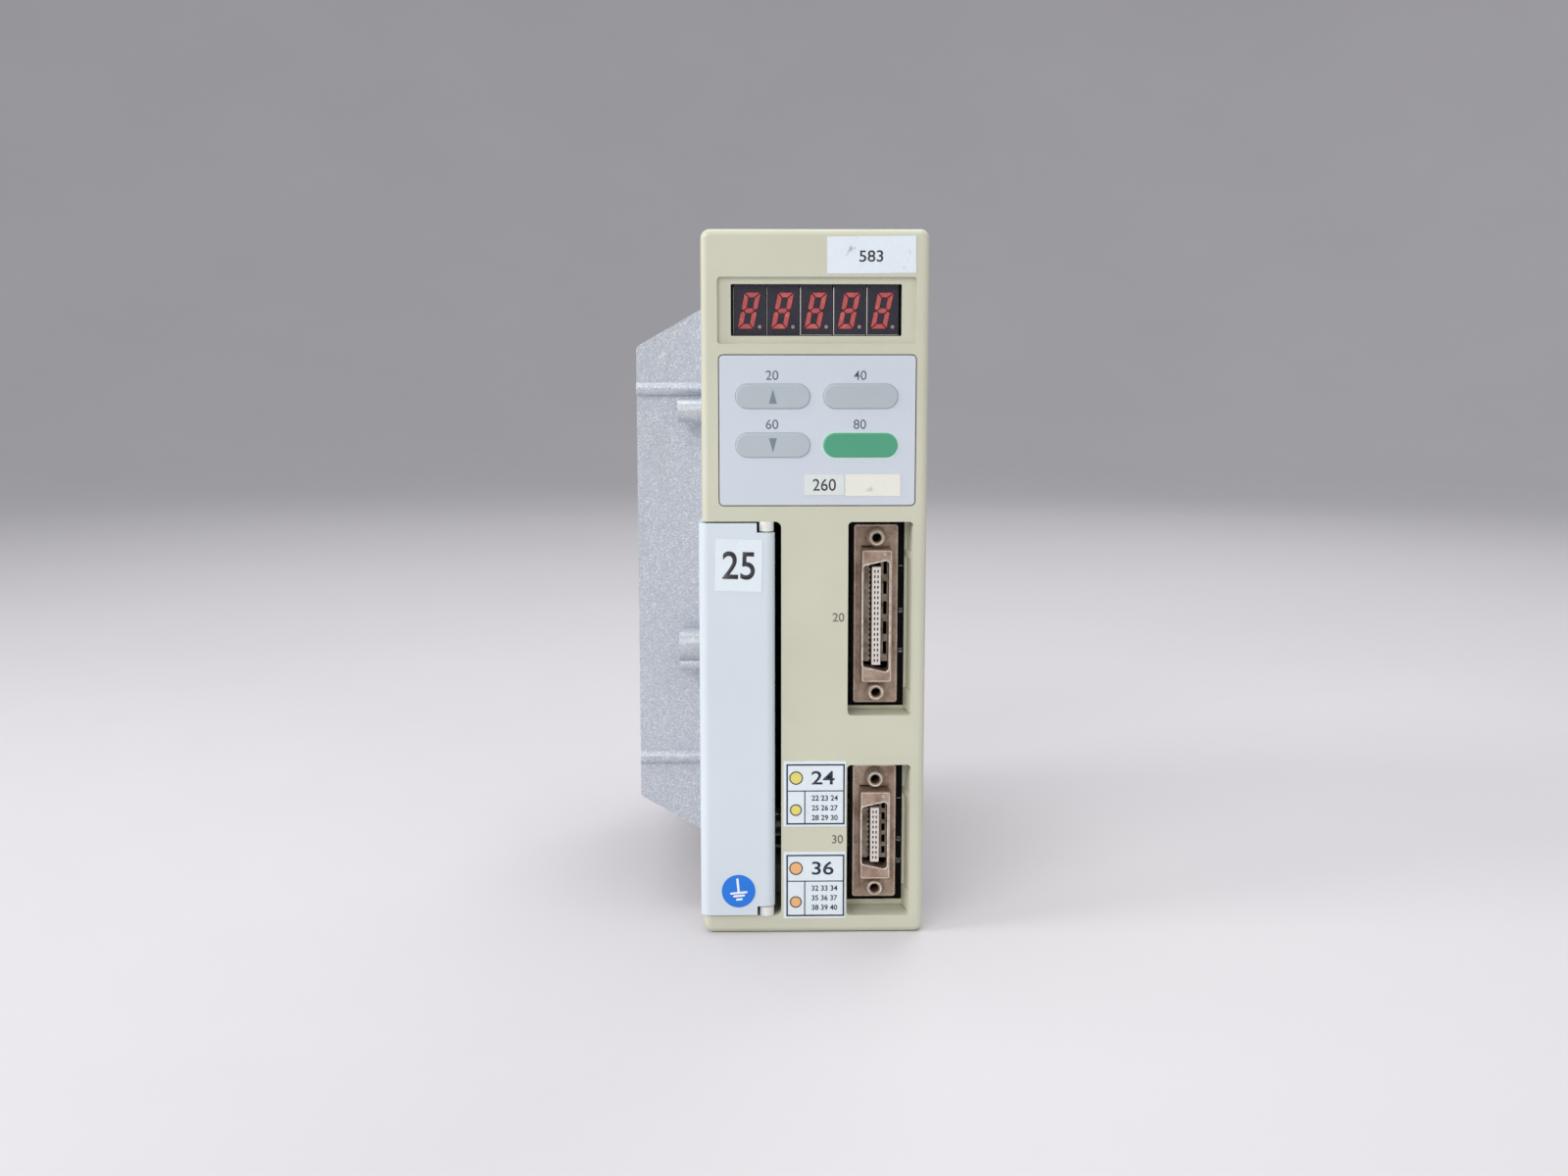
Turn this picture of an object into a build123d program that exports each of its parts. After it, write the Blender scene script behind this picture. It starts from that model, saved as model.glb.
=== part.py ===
from build123d import *
import os

# Servo drive: a narrow upright controller with a die-cast heatsink along its left side,
# a plastic front cover with display, keys and cable connectors, and a hinged terminal door.
# Millimetres. +X to the right, +Y from the front to the back, +Z up. The origin lies on the
# surface that the drive stands on, in the middle of its width and depth.

os.makedirs("parts", exist_ok=True)

# ---------------------------------------------------------------- driving dimensions
case_width = 53.0
case_height = 168.0
case_depth = 135.0  # front face of the cover to the back of the mounting flange
fin_reach = 17.0  # how far the cooling fins stand out of the case's left side
door_proud = 1.0  # how far the door stands in front of the cover
label_thickness = 0.12

overall_width = case_width + fin_reach
overall_depth = case_depth + door_proud + label_thickness
case_right = overall_width / 2
case_left = case_right - case_width
case_middle = (case_left + case_right) / 2
fin_tip = -overall_width / 2
back = overall_depth / 2
front = back - case_depth

# front cover
cover_depth = 18.0
cover_wall = 2.0
front_wall = 2.5
corner_radius = 2.2
front_edge_radius = 1.6
cover_rear = front + cover_depth
cover_inside = front + front_wall
seam_gap = 0.2

# rear housing and chassis
body_margin = 10.0  # how far the body stops short of the cover's top and bottom
body_low = body_margin
body_high = case_height - body_margin
housing_wall = 2.0
rim_depth = 2.0
rim_front = cover_rear + seam_gap
chassis_front = rim_front + rim_depth + seam_gap
chassis_wall = 3.0
chassis_face = case_left + chassis_wall
flange_thickness = 3.0
flange_front = back - flange_thickness

# mounting holes
mounting_margin = 6.0
mounting_hole_radius = 3.0

# cooling fins
fin_thickness = 2.0
fin_pitch = 9.6
first_fin_depth = 29.6  # from the cover's front face to the first fin
fin_end_gap = 10.0  # clear space between the last fin and the mounting flange
fin_tip_margin = 26.65  # from the top or bottom to the fin's straight tip
fin_root_margin = 16.9
fin_corner_radius = 1.6
fin_rib_radius = 1.75
fin_rib_margin = 37.0
boss_reach = 6.5

# display
recess_depth = 1.0
recess_left = case_left + 3.8
recess_right = case_right - 2.9
recess_low = case_height - 26.2
recess_high = case_height - 10.9
window_left = case_left + 6.95
window_low = case_height - 24.4
window_high = case_height - 12.5
digit_count = 5
digit_pitch = 7.75
digit_gap = 0.15
digit_height = 12.6
digit_depth = 6.0
window_right = window_left + digit_count * digit_pitch + 1.0
digit_front = cover_inside + 0.2
digit_middle = (window_low + window_high) / 2

# keypad
panel_thickness = 1.2
panel_gap = 0.25
panel_left = case_left + 3.95
panel_right = case_right - 2.75
panel_low = case_height - 64.0
panel_high = case_height - 28.6
panel_radius = 1.2
button_width = 17.3
button_height = 5.6
button_clearance = 0.15
button_proud = 0.3
button_lip = 0.8
button_lip_thickness = 0.8
button_stem_radius = 2.0
button_travel = 0.5
left_keys = case_left + 16.7
right_keys = case_right - 15.8
upper_keys = case_height - 38.35
lower_keys = case_height - 49.7
key_centres = {
    "up": (left_keys, upper_keys),
    "mode": (right_keys, upper_keys),
    "down": (left_keys, lower_keys),
    "set": (right_keys, lower_keys),
}

# display and key board
board_thickness = 1.6
display_board_front = digit_front + digit_depth
display_board_rear = display_board_front + board_thickness
display_board_left = case_left + 3.5
display_board_right = case_right - 3.5
display_board_low = case_height - 65.5
display_board_high = case_height - 4.0
display_post_radius = 2.5
display_post_inset = 3.2
switch_side = 6.0
switch_depth = 3.5
switch_front = display_board_front - switch_depth
plunger_radius = 1.7
plunger_length = 1.0
plunger_front = switch_front - plunger_length

# terminal compartment and its door
opening_low = 4.45
opening_high = case_height - 67.6
opening_right = case_left + 18.65
opening_radius = 1.5
door_gap = 0.35
door_thickness = 1.8
door_side_proud = 0.8
door_side_depth = 13.6
door_edge_radius = 2.2
door_left = case_left - door_side_proud
door_front = front - door_proud
door_side_end = door_front + door_side_depth
door_low = opening_low + door_gap
door_high = opening_high - door_gap
hinge_gap = 1.5  # between the door's hinge edge and the opening's right edge
barrel_radius = 2.0
hinge_x = opening_right - hinge_gap - barrel_radius
hinge_y = door_front + barrel_radius
lug_radius = 1.75
lug_height = 2.3
lug_back = 3.5
lug_clearance = 0.25
notch_reach = 2.25  # from the hinge axis to the edge of the door's notch for a lug
pin_radius = 0.8
pin_length = 6.2
pin_lug_clearance = 0.02
pin_door_clearance = 0.06

# terminal block and earth bar
shroud_thickness = 1.2
block_left = chassis_face + 0.6
block_right = opening_right + 0.3
block_front = front + 15.0
block_rear = front + 24.0
block_low = opening_low + 24.0
block_high = opening_high - 4.4
block_guard = 1.2
terminal_count = 9
terminal_pitch = (block_high - block_low) / terminal_count
terminal_x = block_left + 7.3
barrier_depth = 5.5
clamp_side = 6.0
clamp_thickness = 0.8
screw_clearance = 0.05
terminal_screw_radius = 1.7
terminal_head_radius = 2.9
terminal_head_depth = 2.0
terminal_screw_length = 6.0
earth_bar_thickness = 1.5
earth_bar_low = body_low + housing_wall + 0.5
earth_bar_high = block_low - 1.0
earth_screw_pitch = 7.2

# cable connectors
connector_x = case_right - 11.4
slot_left = connector_x - 7.15
slot_right = connector_x + 8.2
slot_radius = 1.0
slot_wall = 1.2
plate_depth = 8.0  # from the cover's front to the connector's metal plate
plate_thickness = 1.0
plate_width = 10.7
plate_overhang = 3.0  # beyond the jack socket's axis
frame_front_depth = 3.5
frame_width = 7.4
socket_front_depth = 5.0
socket_radius = 2.0
socket_foot_radius = 2.45
socket_foot_height = 0.6
jack_hole_radius = 1.075
jack_hole_depth = 6.0
flange_overlap = 0.75
body_flange_thickness = 2.0
body_half_left = 5.4
contact_pitch = 1.27
contact_row_offset = 0.38
insert_width = 2.05
insert_front_depth = 4.2
insert_back_depth = 14.0
cavity_width = 6.3
cavity_slant = 1.45
cavity_radius = 0.8
board_offset = 5.9  # connector axis to the control board's face
control_board_left = connector_x + board_offset
control_board_right = control_board_left + board_thickness
connectors = {
    # name: (height of its centre, contacts in a row, distance between its jack sockets,
    #        top of its slot in the cover, bottom of that slot)
    "cn1": (case_height - 90.8, 18, 37.56, case_height - 67.7, case_height - 114.2),
    "cn2": (23.2, 10, 27.4, 41.7, 4.3),
}

# boards, spacers and what stands on the boards
power_board_left = chassis_face + 10.0
power_board_right = power_board_left + board_thickness
power_board_front = block_rear
power_board_rear = back - 8.0
power_board_low = body_low + housing_wall + 1.5
power_board_high = body_high - housing_wall - 1.5
control_board_front = front + plate_depth + plate_thickness + body_flange_thickness + 1.0
control_board_rear = back - 23.0
control_board_low = body_low + housing_wall + 1.0
control_board_high = body_high - housing_wall - 1.0
spacer_radius = 3.0
spacer_hole_radius = 1.5
spacer_stud_radius = 1.45
spacer_stud_length = 6.0
board_hole_radius = 1.6
board_screw_head_radius = 2.7
board_screw_head_height = 1.5
spacer_front = power_board_front + 7.0
spacer_rear = control_board_rear - 7.0
spacer_low = power_board_low + 5.5
spacer_high = power_board_high - 5.5
spacer_places = [
    (spacer_front, spacer_low),
    (spacer_front, spacer_high),
    (spacer_rear, spacer_low),
    (spacer_rear, spacer_high),
]
pad_thickness = 0.5
module_height = 7.0
pin_thickness = 0.8
rear_screw_x = case_right - 5.5
rear_screw_margin = body_margin + 7.5
rear_screw_radius = 1.45
rear_screw_length = 9.0
rear_head_radius = 2.7
rear_head_height = 1.8
rear_post_radius = 3.4
rear_post_length = 11.0


# ---------------------------------------------------------------- small helpers
def facing_front(y):
    """Plane at depth y, seen from the front: its x is the drive's X and its y is Z."""
    return Plane.XZ.offset(-y)


def facing_right(x):
    """Plane at width x, seen from the right: its x is the drive's Y and its y is Z."""
    return Plane.YZ.offset(x)


def box_between(x0, x1, y0, y1, z0, z1, mode=Mode.ADD):
    """Box between two opposite corners, in the part being built."""
    with Locations(((x0 + x1) / 2, (y0 + y1) / 2, (z0 + z1) / 2)):
        Box(x1 - x0, y1 - y0, z1 - z0, mode=mode)


def rounded_slab(x0, x1, z0, z1, y0, y1, radius, mode=Mode.ADD):
    """Slab with rounded corners seen from the front, from depth y0 back to y1."""
    with BuildSketch(facing_front(y0)) as outline:
        with Locations(((x0 + x1) / 2, (z0 + z1) / 2)):
            RectangleRounded(x1 - x0, z1 - z0, radius)
    extrude(outline.sketch, amount=y0 - y1, mode=mode)


def rod_along_y(x, z, y0, y1, radius, mode=Mode.ADD):
    """Round rod or hole along Y from y0 to y1."""
    with BuildSketch(facing_front(y0)) as outline:
        with Locations((x, z)):
            Circle(radius)
    extrude(outline.sketch, amount=y0 - y1, mode=mode)


def rod_along_x(y, z, x0, x1, radius, mode=Mode.ADD):
    """Round rod or hole along X from x0 to x1."""
    with BuildSketch(facing_right(x0)) as outline:
        with Locations((y, z)):
            Circle(radius)
    extrude(outline.sketch, amount=x1 - x0, mode=mode)


def rod_along_z(x, y, z0, z1, radius, mode=Mode.ADD):
    """Round rod or hole along Z from z0 to z1."""
    with BuildSketch(Plane.XY.offset(z0)) as outline:
        with Locations((x, y)):
            Circle(radius)
    extrude(outline.sketch, amount=z1 - z0, mode=mode)


def long_button(x, z, y0, y1, grow, mode=Mode.ADD):
    """Slab with the keys' round-ended outline, grown all round, from depth y0 back to y1."""
    with BuildSketch(facing_front(y0)) as outline:
        with Locations((x, z)):
            SlotOverall(button_width + 2 * grow, button_height + 2 * grow)
    extrude(outline.sketch, amount=y0 - y1, mode=mode)


def save(builder, name):
    """Label a finished piece and write its STEP file."""
    builder.part.label = name
    export_step(builder.part, f"parts/{name}.step")


# ---------------------------------------------------------------- front cover
display_posts = [
    (x, z)
    for x in (display_board_left + display_post_inset, display_board_right - display_post_inset)
    for z in (display_board_low + display_post_inset, display_board_high - display_post_inset)
]

with BuildPart() as front_cover:
    # one deep tray, rounded all round its front face
    with BuildSketch(facing_front(front)):
        with Locations((case_middle, case_height / 2)):
            RectangleRounded(case_width, case_height, corner_radius)
    extrude(amount=-cover_depth)
    fillet(front_cover.faces().sort_by(Axis.Y)[0].edges(), front_edge_radius)
    with BuildSketch(facing_front(cover_inside)):
        with Locations((case_middle, case_height / 2)):
            Rectangle(case_width - 2 * cover_wall, case_height - 2 * cover_wall)
    extrude(amount=-cover_depth, mode=Mode.SUBTRACT)
    # display recess and window
    rounded_slab(recess_left, recess_right, recess_low, recess_high,
                 front - 1, front + recess_depth, 0.8, Mode.SUBTRACT)
    rounded_slab(window_left, window_right, window_low, window_high,
                 front, cover_inside + 1, 0.3, Mode.SUBTRACT)
    # pocket for the keypad panel, with a hole for each key
    rounded_slab(panel_left, panel_right, panel_low, panel_high,
                 front - 1, front + panel_thickness, panel_radius, Mode.SUBTRACT)
    for key_x, key_z in key_centres.values():
        long_button(key_x, key_z, front, cover_inside + 1, button_clearance, Mode.SUBTRACT)
    # terminal opening, which runs out through the left side
    rounded_slab(case_left - 6, opening_right, opening_low, opening_high,
                 front - 1, cover_inside + 1, opening_radius, Mode.SUBTRACT)
    box_between(case_left - 1, case_left + cover_wall + 1, front - 1, door_side_end + door_gap,
                opening_low, opening_high, Mode.SUBTRACT)
    box_between(case_left + cover_wall, opening_right + slot_wall, cover_inside, cover_rear,
                cover_wall, opening_low)
    box_between(case_left + cover_wall, opening_right + slot_wall, cover_inside, cover_rear,
                opening_high, opening_high + slot_wall)
    # connector slots, each with a wall round it that runs back to the connector
    for slot_top, slot_bottom in [row[3:] for row in connectors.values()]:
        box_between(slot_left - slot_wall, case_right - cover_wall, cover_inside,
                    front + plate_depth + plate_thickness - seam_gap,
                    max(slot_bottom - slot_wall, cover_wall), slot_top + slot_wall)
        rounded_slab(slot_left, slot_right, slot_bottom, slot_top,
                     front - 1, cover_rear, slot_radius, Mode.SUBTRACT)
    # posts that carry the display board
    for post_x, post_z in display_posts:
        rod_along_y(post_x, post_z, cover_inside, display_board_front, display_post_radius)
        rod_along_y(post_x, post_z, cover_inside + 1, display_board_front,
                    spacer_hole_radius, Mode.SUBTRACT)
save(front_cover, "front_cover")

# ---------------------------------------------------------------- rear housing
rear_posts = [(rear_screw_x, z) for z in (rear_screw_margin, case_height - rear_screw_margin)]
vent_count = 8
vent_pitch = 11.0
vent_width = 2.6
vent_reach = 30.0
first_vent = rim_front + 14.0
side_vent_count = 7
side_vent_pitch = 6.0
side_vent_length = 30.0
side_vent_middle = (rim_front + flange_front) / 2

with BuildPart() as rear_housing:
    box_between(chassis_face, case_right, rim_front, flange_front, body_low, body_high)
    rounded_slab(case_left, case_right, 0, case_height, rim_front, rim_front + rim_depth, corner_radius)
    box_between(chassis_face - 1, case_right - housing_wall, rim_front - 1, flange_front + 1,
                body_low + housing_wall, body_high - housing_wall, Mode.SUBTRACT)
    # lips that locate the cover at its top, bottom and right side
    lip_x0 = case_left + cover_wall + 8.0
    lip_x1 = case_right - cover_wall - 8.0
    lip_front = cover_rear - 3.0
    for lip_low in (cover_wall + seam_gap, case_height - cover_wall - seam_gap - slot_wall):
        box_between(max(lip_x0, opening_right + 2 * slot_wall), lip_x1, lip_front, rim_front,
                    lip_low, lip_low + slot_wall)
    # screw posts at the back
    for post_x, post_z in rear_posts:
        rod_along_y(post_x, post_z, flange_front - rear_post_length, flange_front, rear_post_radius)
        rod_along_y(post_x, post_z, flange_front - rear_screw_length, flange_front,
                    spacer_hole_radius, Mode.SUBTRACT)
        box_between(post_x, case_right - 0.5, flange_front - rear_post_length,
                    flange_front - rear_screw_length, post_z - 2, post_z + 2)
    # vent slots through the top and the bottom
    for vent in range(vent_count):
        vent_y = first_vent + vent * vent_pitch
        box_between(case_middle - vent_reach / 2, case_middle + vent_reach / 2,
                    vent_y, vent_y + vent_width, body_low - 1, case_height + 1, Mode.SUBTRACT)
    # vent slots high and low on the right side
    for vent in range(side_vent_count):
        for vent_z in (body_low + 9 + vent * side_vent_pitch, body_high - 9 - vent * side_vent_pitch):
            box_between(case_right - housing_wall - 1, case_right + 1,
                        side_vent_middle - side_vent_length / 2, side_vent_middle + side_vent_length / 2,
                        vent_z - vent_width / 2, vent_z + vent_width / 2, Mode.SUBTRACT)
save(rear_housing, "rear_housing")

# ---------------------------------------------------------------- heatsink chassis
first_fin = front + first_fin_depth
fin_count = int((flange_front - fin_end_gap - first_fin) // fin_pitch) + 1

with BuildPart() as heatsink_chassis:
    box_between(case_left, chassis_face, chassis_front, flange_front, body_low, body_high)
    rounded_slab(case_left, case_right, 0, case_height, flange_front, back, corner_radius)
    for fin in range(fin_count):
        with BuildSketch(facing_front(first_fin + fin * fin_pitch)) as fin_outline:
            with BuildLine():
                Polyline(
                    (case_left + 1, fin_root_margin),
                    (case_left, fin_root_margin),
                    (fin_tip, fin_tip_margin),
                    (fin_tip, case_height - fin_tip_margin),
                    (case_left, case_height - fin_root_margin),
                    (case_left + 1, case_height - fin_root_margin),
                    close=True,
                )
            make_face()
            fillet(fin_outline.vertices().group_by(Axis.X)[0], fin_corner_radius)
        extrude(amount=-fin_thickness)
    # half-round ribs across the first fin's face, and two short bosses on the wall
    for rib_z in (fin_rib_margin, case_height - fin_rib_margin):
        rod_along_x(first_fin, rib_z, fin_tip, case_left, fin_rib_radius)
    for boss_y, boss_z, boss_radius in (
        (chassis_front + 2.8, case_height - 42.35, 2.8),
        (chassis_front + 4.0, 67.1, 4.0),
        (chassis_front + 3.4, 62.2, 1.6),
    ):
        rod_along_x(boss_y, boss_z, case_left - boss_reach, case_left, boss_radius)
    # mounting holes, and sunk holes for the screws that hold the rear housing
    for hole_z in (mounting_margin, case_height - mounting_margin):
        rod_along_y(case_middle, hole_z, flange_front - 1, back + 1, mounting_hole_radius, Mode.SUBTRACT)
    for post_x, post_z in rear_posts:
        rod_along_y(post_x, post_z, flange_front - 1, back + 1, board_hole_radius, Mode.SUBTRACT)
        rod_along_y(post_x, post_z, back - rear_head_height, back + 1,
                    rear_head_radius + screw_clearance, Mode.SUBTRACT)
save(heatsink_chassis, "heatsink_chassis")

with BuildPart() as housing_screws:
    for post_x, post_z in rear_posts:
        rod_along_y(post_x, post_z, back - rear_head_height, back, rear_head_radius)
        rod_along_y(post_x, post_z, back - rear_screw_length, back - rear_head_height, rear_screw_radius)
        for arm in ((2.0, 0.35), (0.35, 2.0)):
            box_between(post_x - arm[0], post_x + arm[0], back - 1, back + 1,
                        post_z - arm[1], post_z + arm[1], Mode.SUBTRACT)
save(housing_screws, "housing_screws")

# ---------------------------------------------------------------- keypad panel and keys
with BuildPart() as keypad_panel:
    rounded_slab(panel_left + panel_gap, panel_right - panel_gap, panel_low + panel_gap,
                 panel_high - panel_gap, front, front + panel_thickness, panel_radius - panel_gap)
    for key_x, key_z in key_centres.values():
        long_button(key_x, key_z, front - 1, front + panel_thickness + 1, button_clearance, Mode.SUBTRACT)
save(keypad_panel, "keypad_panel")

button_lip_front = cover_inside + 0.05
button_stem_rear = plunger_front - button_travel - 0.05

for key_name, (key_x, key_z) in key_centres.items():
    with BuildPart() as button:
        long_button(key_x, key_z, front - button_proud, button_lip_front, 0)
        fillet(button.faces().sort_by(Axis.Y)[0].edges(), 0.28)
        long_button(key_x, key_z, button_lip_front, button_lip_front + button_lip_thickness, button_lip)
        rod_along_y(key_x, key_z, button_lip_front, button_stem_rear, button_stem_radius)
    save(button, f"button_{key_name}")

# ---------------------------------------------------------------- display and key board
for digit in range(digit_count):
    digit_left = window_left + 0.5 + digit * digit_pitch + digit_gap / 2
    with BuildPart() as led_digit:
        box_between(digit_left, digit_left + digit_pitch - digit_gap, digit_front,
                    display_board_front, digit_middle - digit_height / 2, digit_middle + digit_height / 2)
        fillet(led_digit.faces().sort_by(Axis.Y)[0].edges().filter_by(Axis.Z), 0.2)
    save(led_digit, f"led_digit_{digit + 1}")

with BuildPart() as display_board:
    box_between(display_board_left, display_board_right, display_board_front, display_board_rear,
                display_board_low, display_board_high)
    for post_x, post_z in display_posts:
        rod_along_y(post_x, post_z, display_board_front - 1, display_board_rear + 1,
                    board_hole_radius, Mode.SUBTRACT)
save(display_board, "display_board")

with BuildPart() as display_screws:
    for post_x, post_z in display_posts:
        rod_along_y(post_x, post_z, cover_inside + 2, display_board_rear, spacer_stud_radius)
        rod_along_y(post_x, post_z, display_board_rear, display_board_rear + board_screw_head_height,
                    board_screw_head_radius)
save(display_screws, "display_screws")

with BuildPart() as key_switches:
    for key_x, key_z in key_centres.values():
        box_between(key_x - switch_side / 2, key_x + switch_side / 2, switch_front, display_board_front,
                    key_z - switch_side / 2, key_z + switch_side / 2)
        rod_along_y(key_x, key_z, plunger_front, switch_front, plunger_radius)
save(key_switches, "key_switches")

# ---------------------------------------------------------------- cable connectors
def cavity_outline(centre_z, half_length):
    """Face of the D-shaped opening: longer on its right side, with slanted ends."""
    x_left = connector_x - cavity_width / 2 - 0.25
    x_right = x_left + cavity_width
    with BuildSketch(facing_front(front)) as outline:
        with BuildLine():
            Polyline(
                (x_left, centre_z - half_length + cavity_slant),
                (x_right, centre_z - half_length),
                (x_right, centre_z + half_length),
                (x_left, centre_z + half_length - cavity_slant),
                close=True,
            )
        make_face()
        fillet(outline.vertices(), cavity_radius)
    return outline.sketch


for name, (centre_z, row_contacts, jack_spacing, slot_top, slot_bottom) in connectors.items():
    plate_front = front + plate_depth
    flange_face = plate_front + plate_thickness
    flange_rear = flange_face + body_flange_thickness
    half_plate = jack_spacing / 2 + plate_overhang
    half_insert = row_contacts * contact_pitch / 2 + 0.42
    half_cavity = half_insert + 1.75
    half_frame = half_cavity + 2.45
    half_body = half_insert + 5.5
    body_rear = front + insert_back_depth + 3.5
    cavity = cavity_outline(centre_z, half_cavity)
    jack_heights = (centre_z - jack_spacing / 2, centre_z + jack_spacing / 2)

    with BuildPart() as connector_body:
        box_between(connector_x - plate_width / 2 - flange_overlap, connector_x + board_offset + 1.0,
                    flange_face, flange_rear,
                    centre_z - half_plate - flange_overlap, centre_z + half_plate + flange_overlap)
        box_between(connector_x - body_half_left, control_board_left, flange_rear, body_rear,
                    centre_z - half_body, centre_z + half_body)
        extrude(cavity, amount=-insert_back_depth, mode=Mode.SUBTRACT)
        for jack_z in jack_heights:
            rod_along_y(connector_x, jack_z, flange_face - 1, flange_rear + 1,
                        socket_radius + screw_clearance, Mode.SUBTRACT)
    save(connector_body, f"{name}_body")

    with BuildPart() as connector_shell:
        rounded_slab(connector_x - plate_width / 2, connector_x + plate_width / 2,
                     centre_z - half_plate, centre_z + half_plate, plate_front, flange_face, 0.7)
        rounded_slab(connector_x - frame_width / 2, connector_x + frame_width / 2,
                     centre_z - half_frame, centre_z + half_frame,
                     front + frame_front_depth, plate_front, 0.5)
        fillet(connector_shell.faces().sort_by(Axis.Y)[0].edges(), 0.25)
        extrude(cavity, amount=-(plate_depth + plate_thickness + 1), mode=Mode.SUBTRACT)
        for jack_z in jack_heights:
            rod_along_y(connector_x, jack_z, plate_front - 1, flange_face + 1,
                        socket_radius + screw_clearance, Mode.SUBTRACT)
    save(connector_shell, f"{name}_shell")

    with BuildPart() as connector_sockets:
        for jack_z in jack_heights:
            rod_along_y(connector_x, jack_z, front + socket_front_depth, flange_rear, socket_radius)
            rod_along_y(connector_x, jack_z, plate_front - socket_foot_height, plate_front,
                        socket_foot_radius)
            rod_along_y(connector_x, jack_z, front + socket_front_depth - 1,
                        front + socket_front_depth + jack_hole_depth, jack_hole_radius, Mode.SUBTRACT)
    save(connector_sockets, f"{name}_jack_sockets")

    first_contact = centre_z - (row_contacts - 1) * contact_pitch / 2
    contact_places = [
        (connector_x - 0.1 + side * contact_row_offset, first_contact + row * contact_pitch)
        for side in (-1, 1)
        for row in range(row_contacts)
    ]
    with BuildPart() as connector_insert:
        box_between(connector_x - 0.1 - insert_width / 2, connector_x - 0.1 + insert_width / 2,
                    front + insert_front_depth, front + insert_back_depth,
                    centre_z - half_insert, centre_z + half_insert)
        for contact_x, contact_z in contact_places:
            box_between(contact_x - 0.17, contact_x + 0.17, front + insert_front_depth - 1,
                        front + insert_front_depth + 2.0,
                        contact_z - 0.36, contact_z + 0.36, Mode.SUBTRACT)
    save(connector_insert, f"{name}_insert")

    with BuildPart() as connector_contacts:
        for contact_x, contact_z in contact_places:
            box_between(contact_x - 0.12, contact_x + 0.12, front + insert_front_depth + 0.5,
                        front + insert_front_depth + 2.0, contact_z - 0.28, contact_z + 0.28)
    save(connector_contacts, f"{name}_contacts")

# ---------------------------------------------------------------- terminal block
terminal_heights = [block_low + (step + 0.5) * terminal_pitch for step in range(terminal_count)]

with BuildPart() as terminal_block:
    box_between(block_left, block_right, block_front, block_rear, block_low, block_high)
    # a tall side wall shields the terminals from the rest of the drive
    box_between(block_right, block_right + shroud_thickness, cover_inside + seam_gap,
                cover_rear - seam_gap, opening_low + seam_gap, opening_high - seam_gap)
    for step in range(terminal_count + 1):
        barrier_z = block_low + step * terminal_pitch
        box_between(block_left, block_right, block_front - barrier_depth, block_front,
                    max(barrier_z - block_guard / 2, block_low), min(barrier_z + block_guard / 2, block_high))
    for terminal_z in terminal_heights:
        rod_along_y(terminal_x, terminal_z, block_front - 1, block_front + terminal_screw_length,
                    terminal_screw_radius + screw_clearance, Mode.SUBTRACT)
save(terminal_block, "terminal_block")

with BuildPart() as terminal_clamps:
    for terminal_z in terminal_heights:
        box_between(terminal_x - clamp_side / 2, terminal_x + clamp_side / 2,
                    block_front - clamp_thickness, block_front,
                    terminal_z - clamp_side / 2, terminal_z + clamp_side / 2)
        rod_along_y(terminal_x, terminal_z, block_front - clamp_thickness - 1, block_front + 1,
                    terminal_screw_radius + screw_clearance, Mode.SUBTRACT)
save(terminal_clamps, "terminal_clamps")


def cross_head_screw(x, z, seat_y, head_radius, head_depth, shank_radius, shank_length):
    """Pan-head screw driven towards the back, its head in front of seat_y."""
    rod_along_y(x, z, seat_y - head_depth, seat_y, head_radius)
    rod_along_y(x, z, seat_y, seat_y + shank_length, shank_radius)
    for half_x, half_z in ((head_radius * 0.7, 0.4), (0.4, head_radius * 0.7)):
        box_between(x - half_x, x + half_x, seat_y - head_depth - 1, seat_y - head_depth / 2,
                    z - half_z, z + half_z, Mode.SUBTRACT)


with BuildPart() as terminal_screws:
    for terminal_z in terminal_heights:
        cross_head_screw(terminal_x, terminal_z, block_front - clamp_thickness, terminal_head_radius,
                         terminal_head_depth, terminal_screw_radius, terminal_screw_length)
save(terminal_screws, "terminal_screws")

earth_heights = [(earth_bar_low + earth_bar_high) / 2 + side * earth_screw_pitch / 2 for side in (-1, 1)]

with BuildPart() as earth_bar:
    box_between(chassis_face, block_right - 3, block_front, block_front + earth_bar_thickness,
                earth_bar_low, earth_bar_high)
    box_between(chassis_face, chassis_face + earth_bar_thickness, block_front, chassis_front + 6,
                earth_bar_low, earth_bar_high)
    for earth_z in earth_heights:
        rod_along_y(terminal_x, earth_z, block_front - 1, block_front + earth_bar_thickness + 1,
                    terminal_screw_radius + screw_clearance, Mode.SUBTRACT)
save(earth_bar, "earth_bar")

with BuildPart() as earth_screws:
    for earth_z in earth_heights:
        cross_head_screw(terminal_x, earth_z, block_front, terminal_head_radius,
                         terminal_head_depth, terminal_screw_radius, earth_bar_thickness + 2)
save(earth_screws, "earth_screws")

# ---------------------------------------------------------------- terminal door and hinge
upper_lug_low = opening_high - lug_height
lower_lug_high = opening_low + lug_height
pin_sink = 0.2

with BuildPart() as hinge_lugs:
    for lug_low, lug_high in ((opening_low, lower_lug_high), (upper_lug_low, opening_high)):
        rod_along_z(hinge_x, hinge_y, lug_low, lug_high, lug_radius)
        box_between(hinge_x - lug_radius, hinge_x + lug_radius, hinge_y, hinge_y + lug_back,
                    lug_low, lug_high)
        rod_along_z(hinge_x, hinge_y, lug_low, lug_high, pin_radius + pin_lug_clearance, Mode.SUBTRACT)
save(hinge_lugs, "hinge_lugs")

lower_pin = (opening_low + pin_sink, opening_low + pin_sink + pin_length)
upper_pin = (opening_high - pin_sink - pin_length, opening_high - pin_sink)

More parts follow.
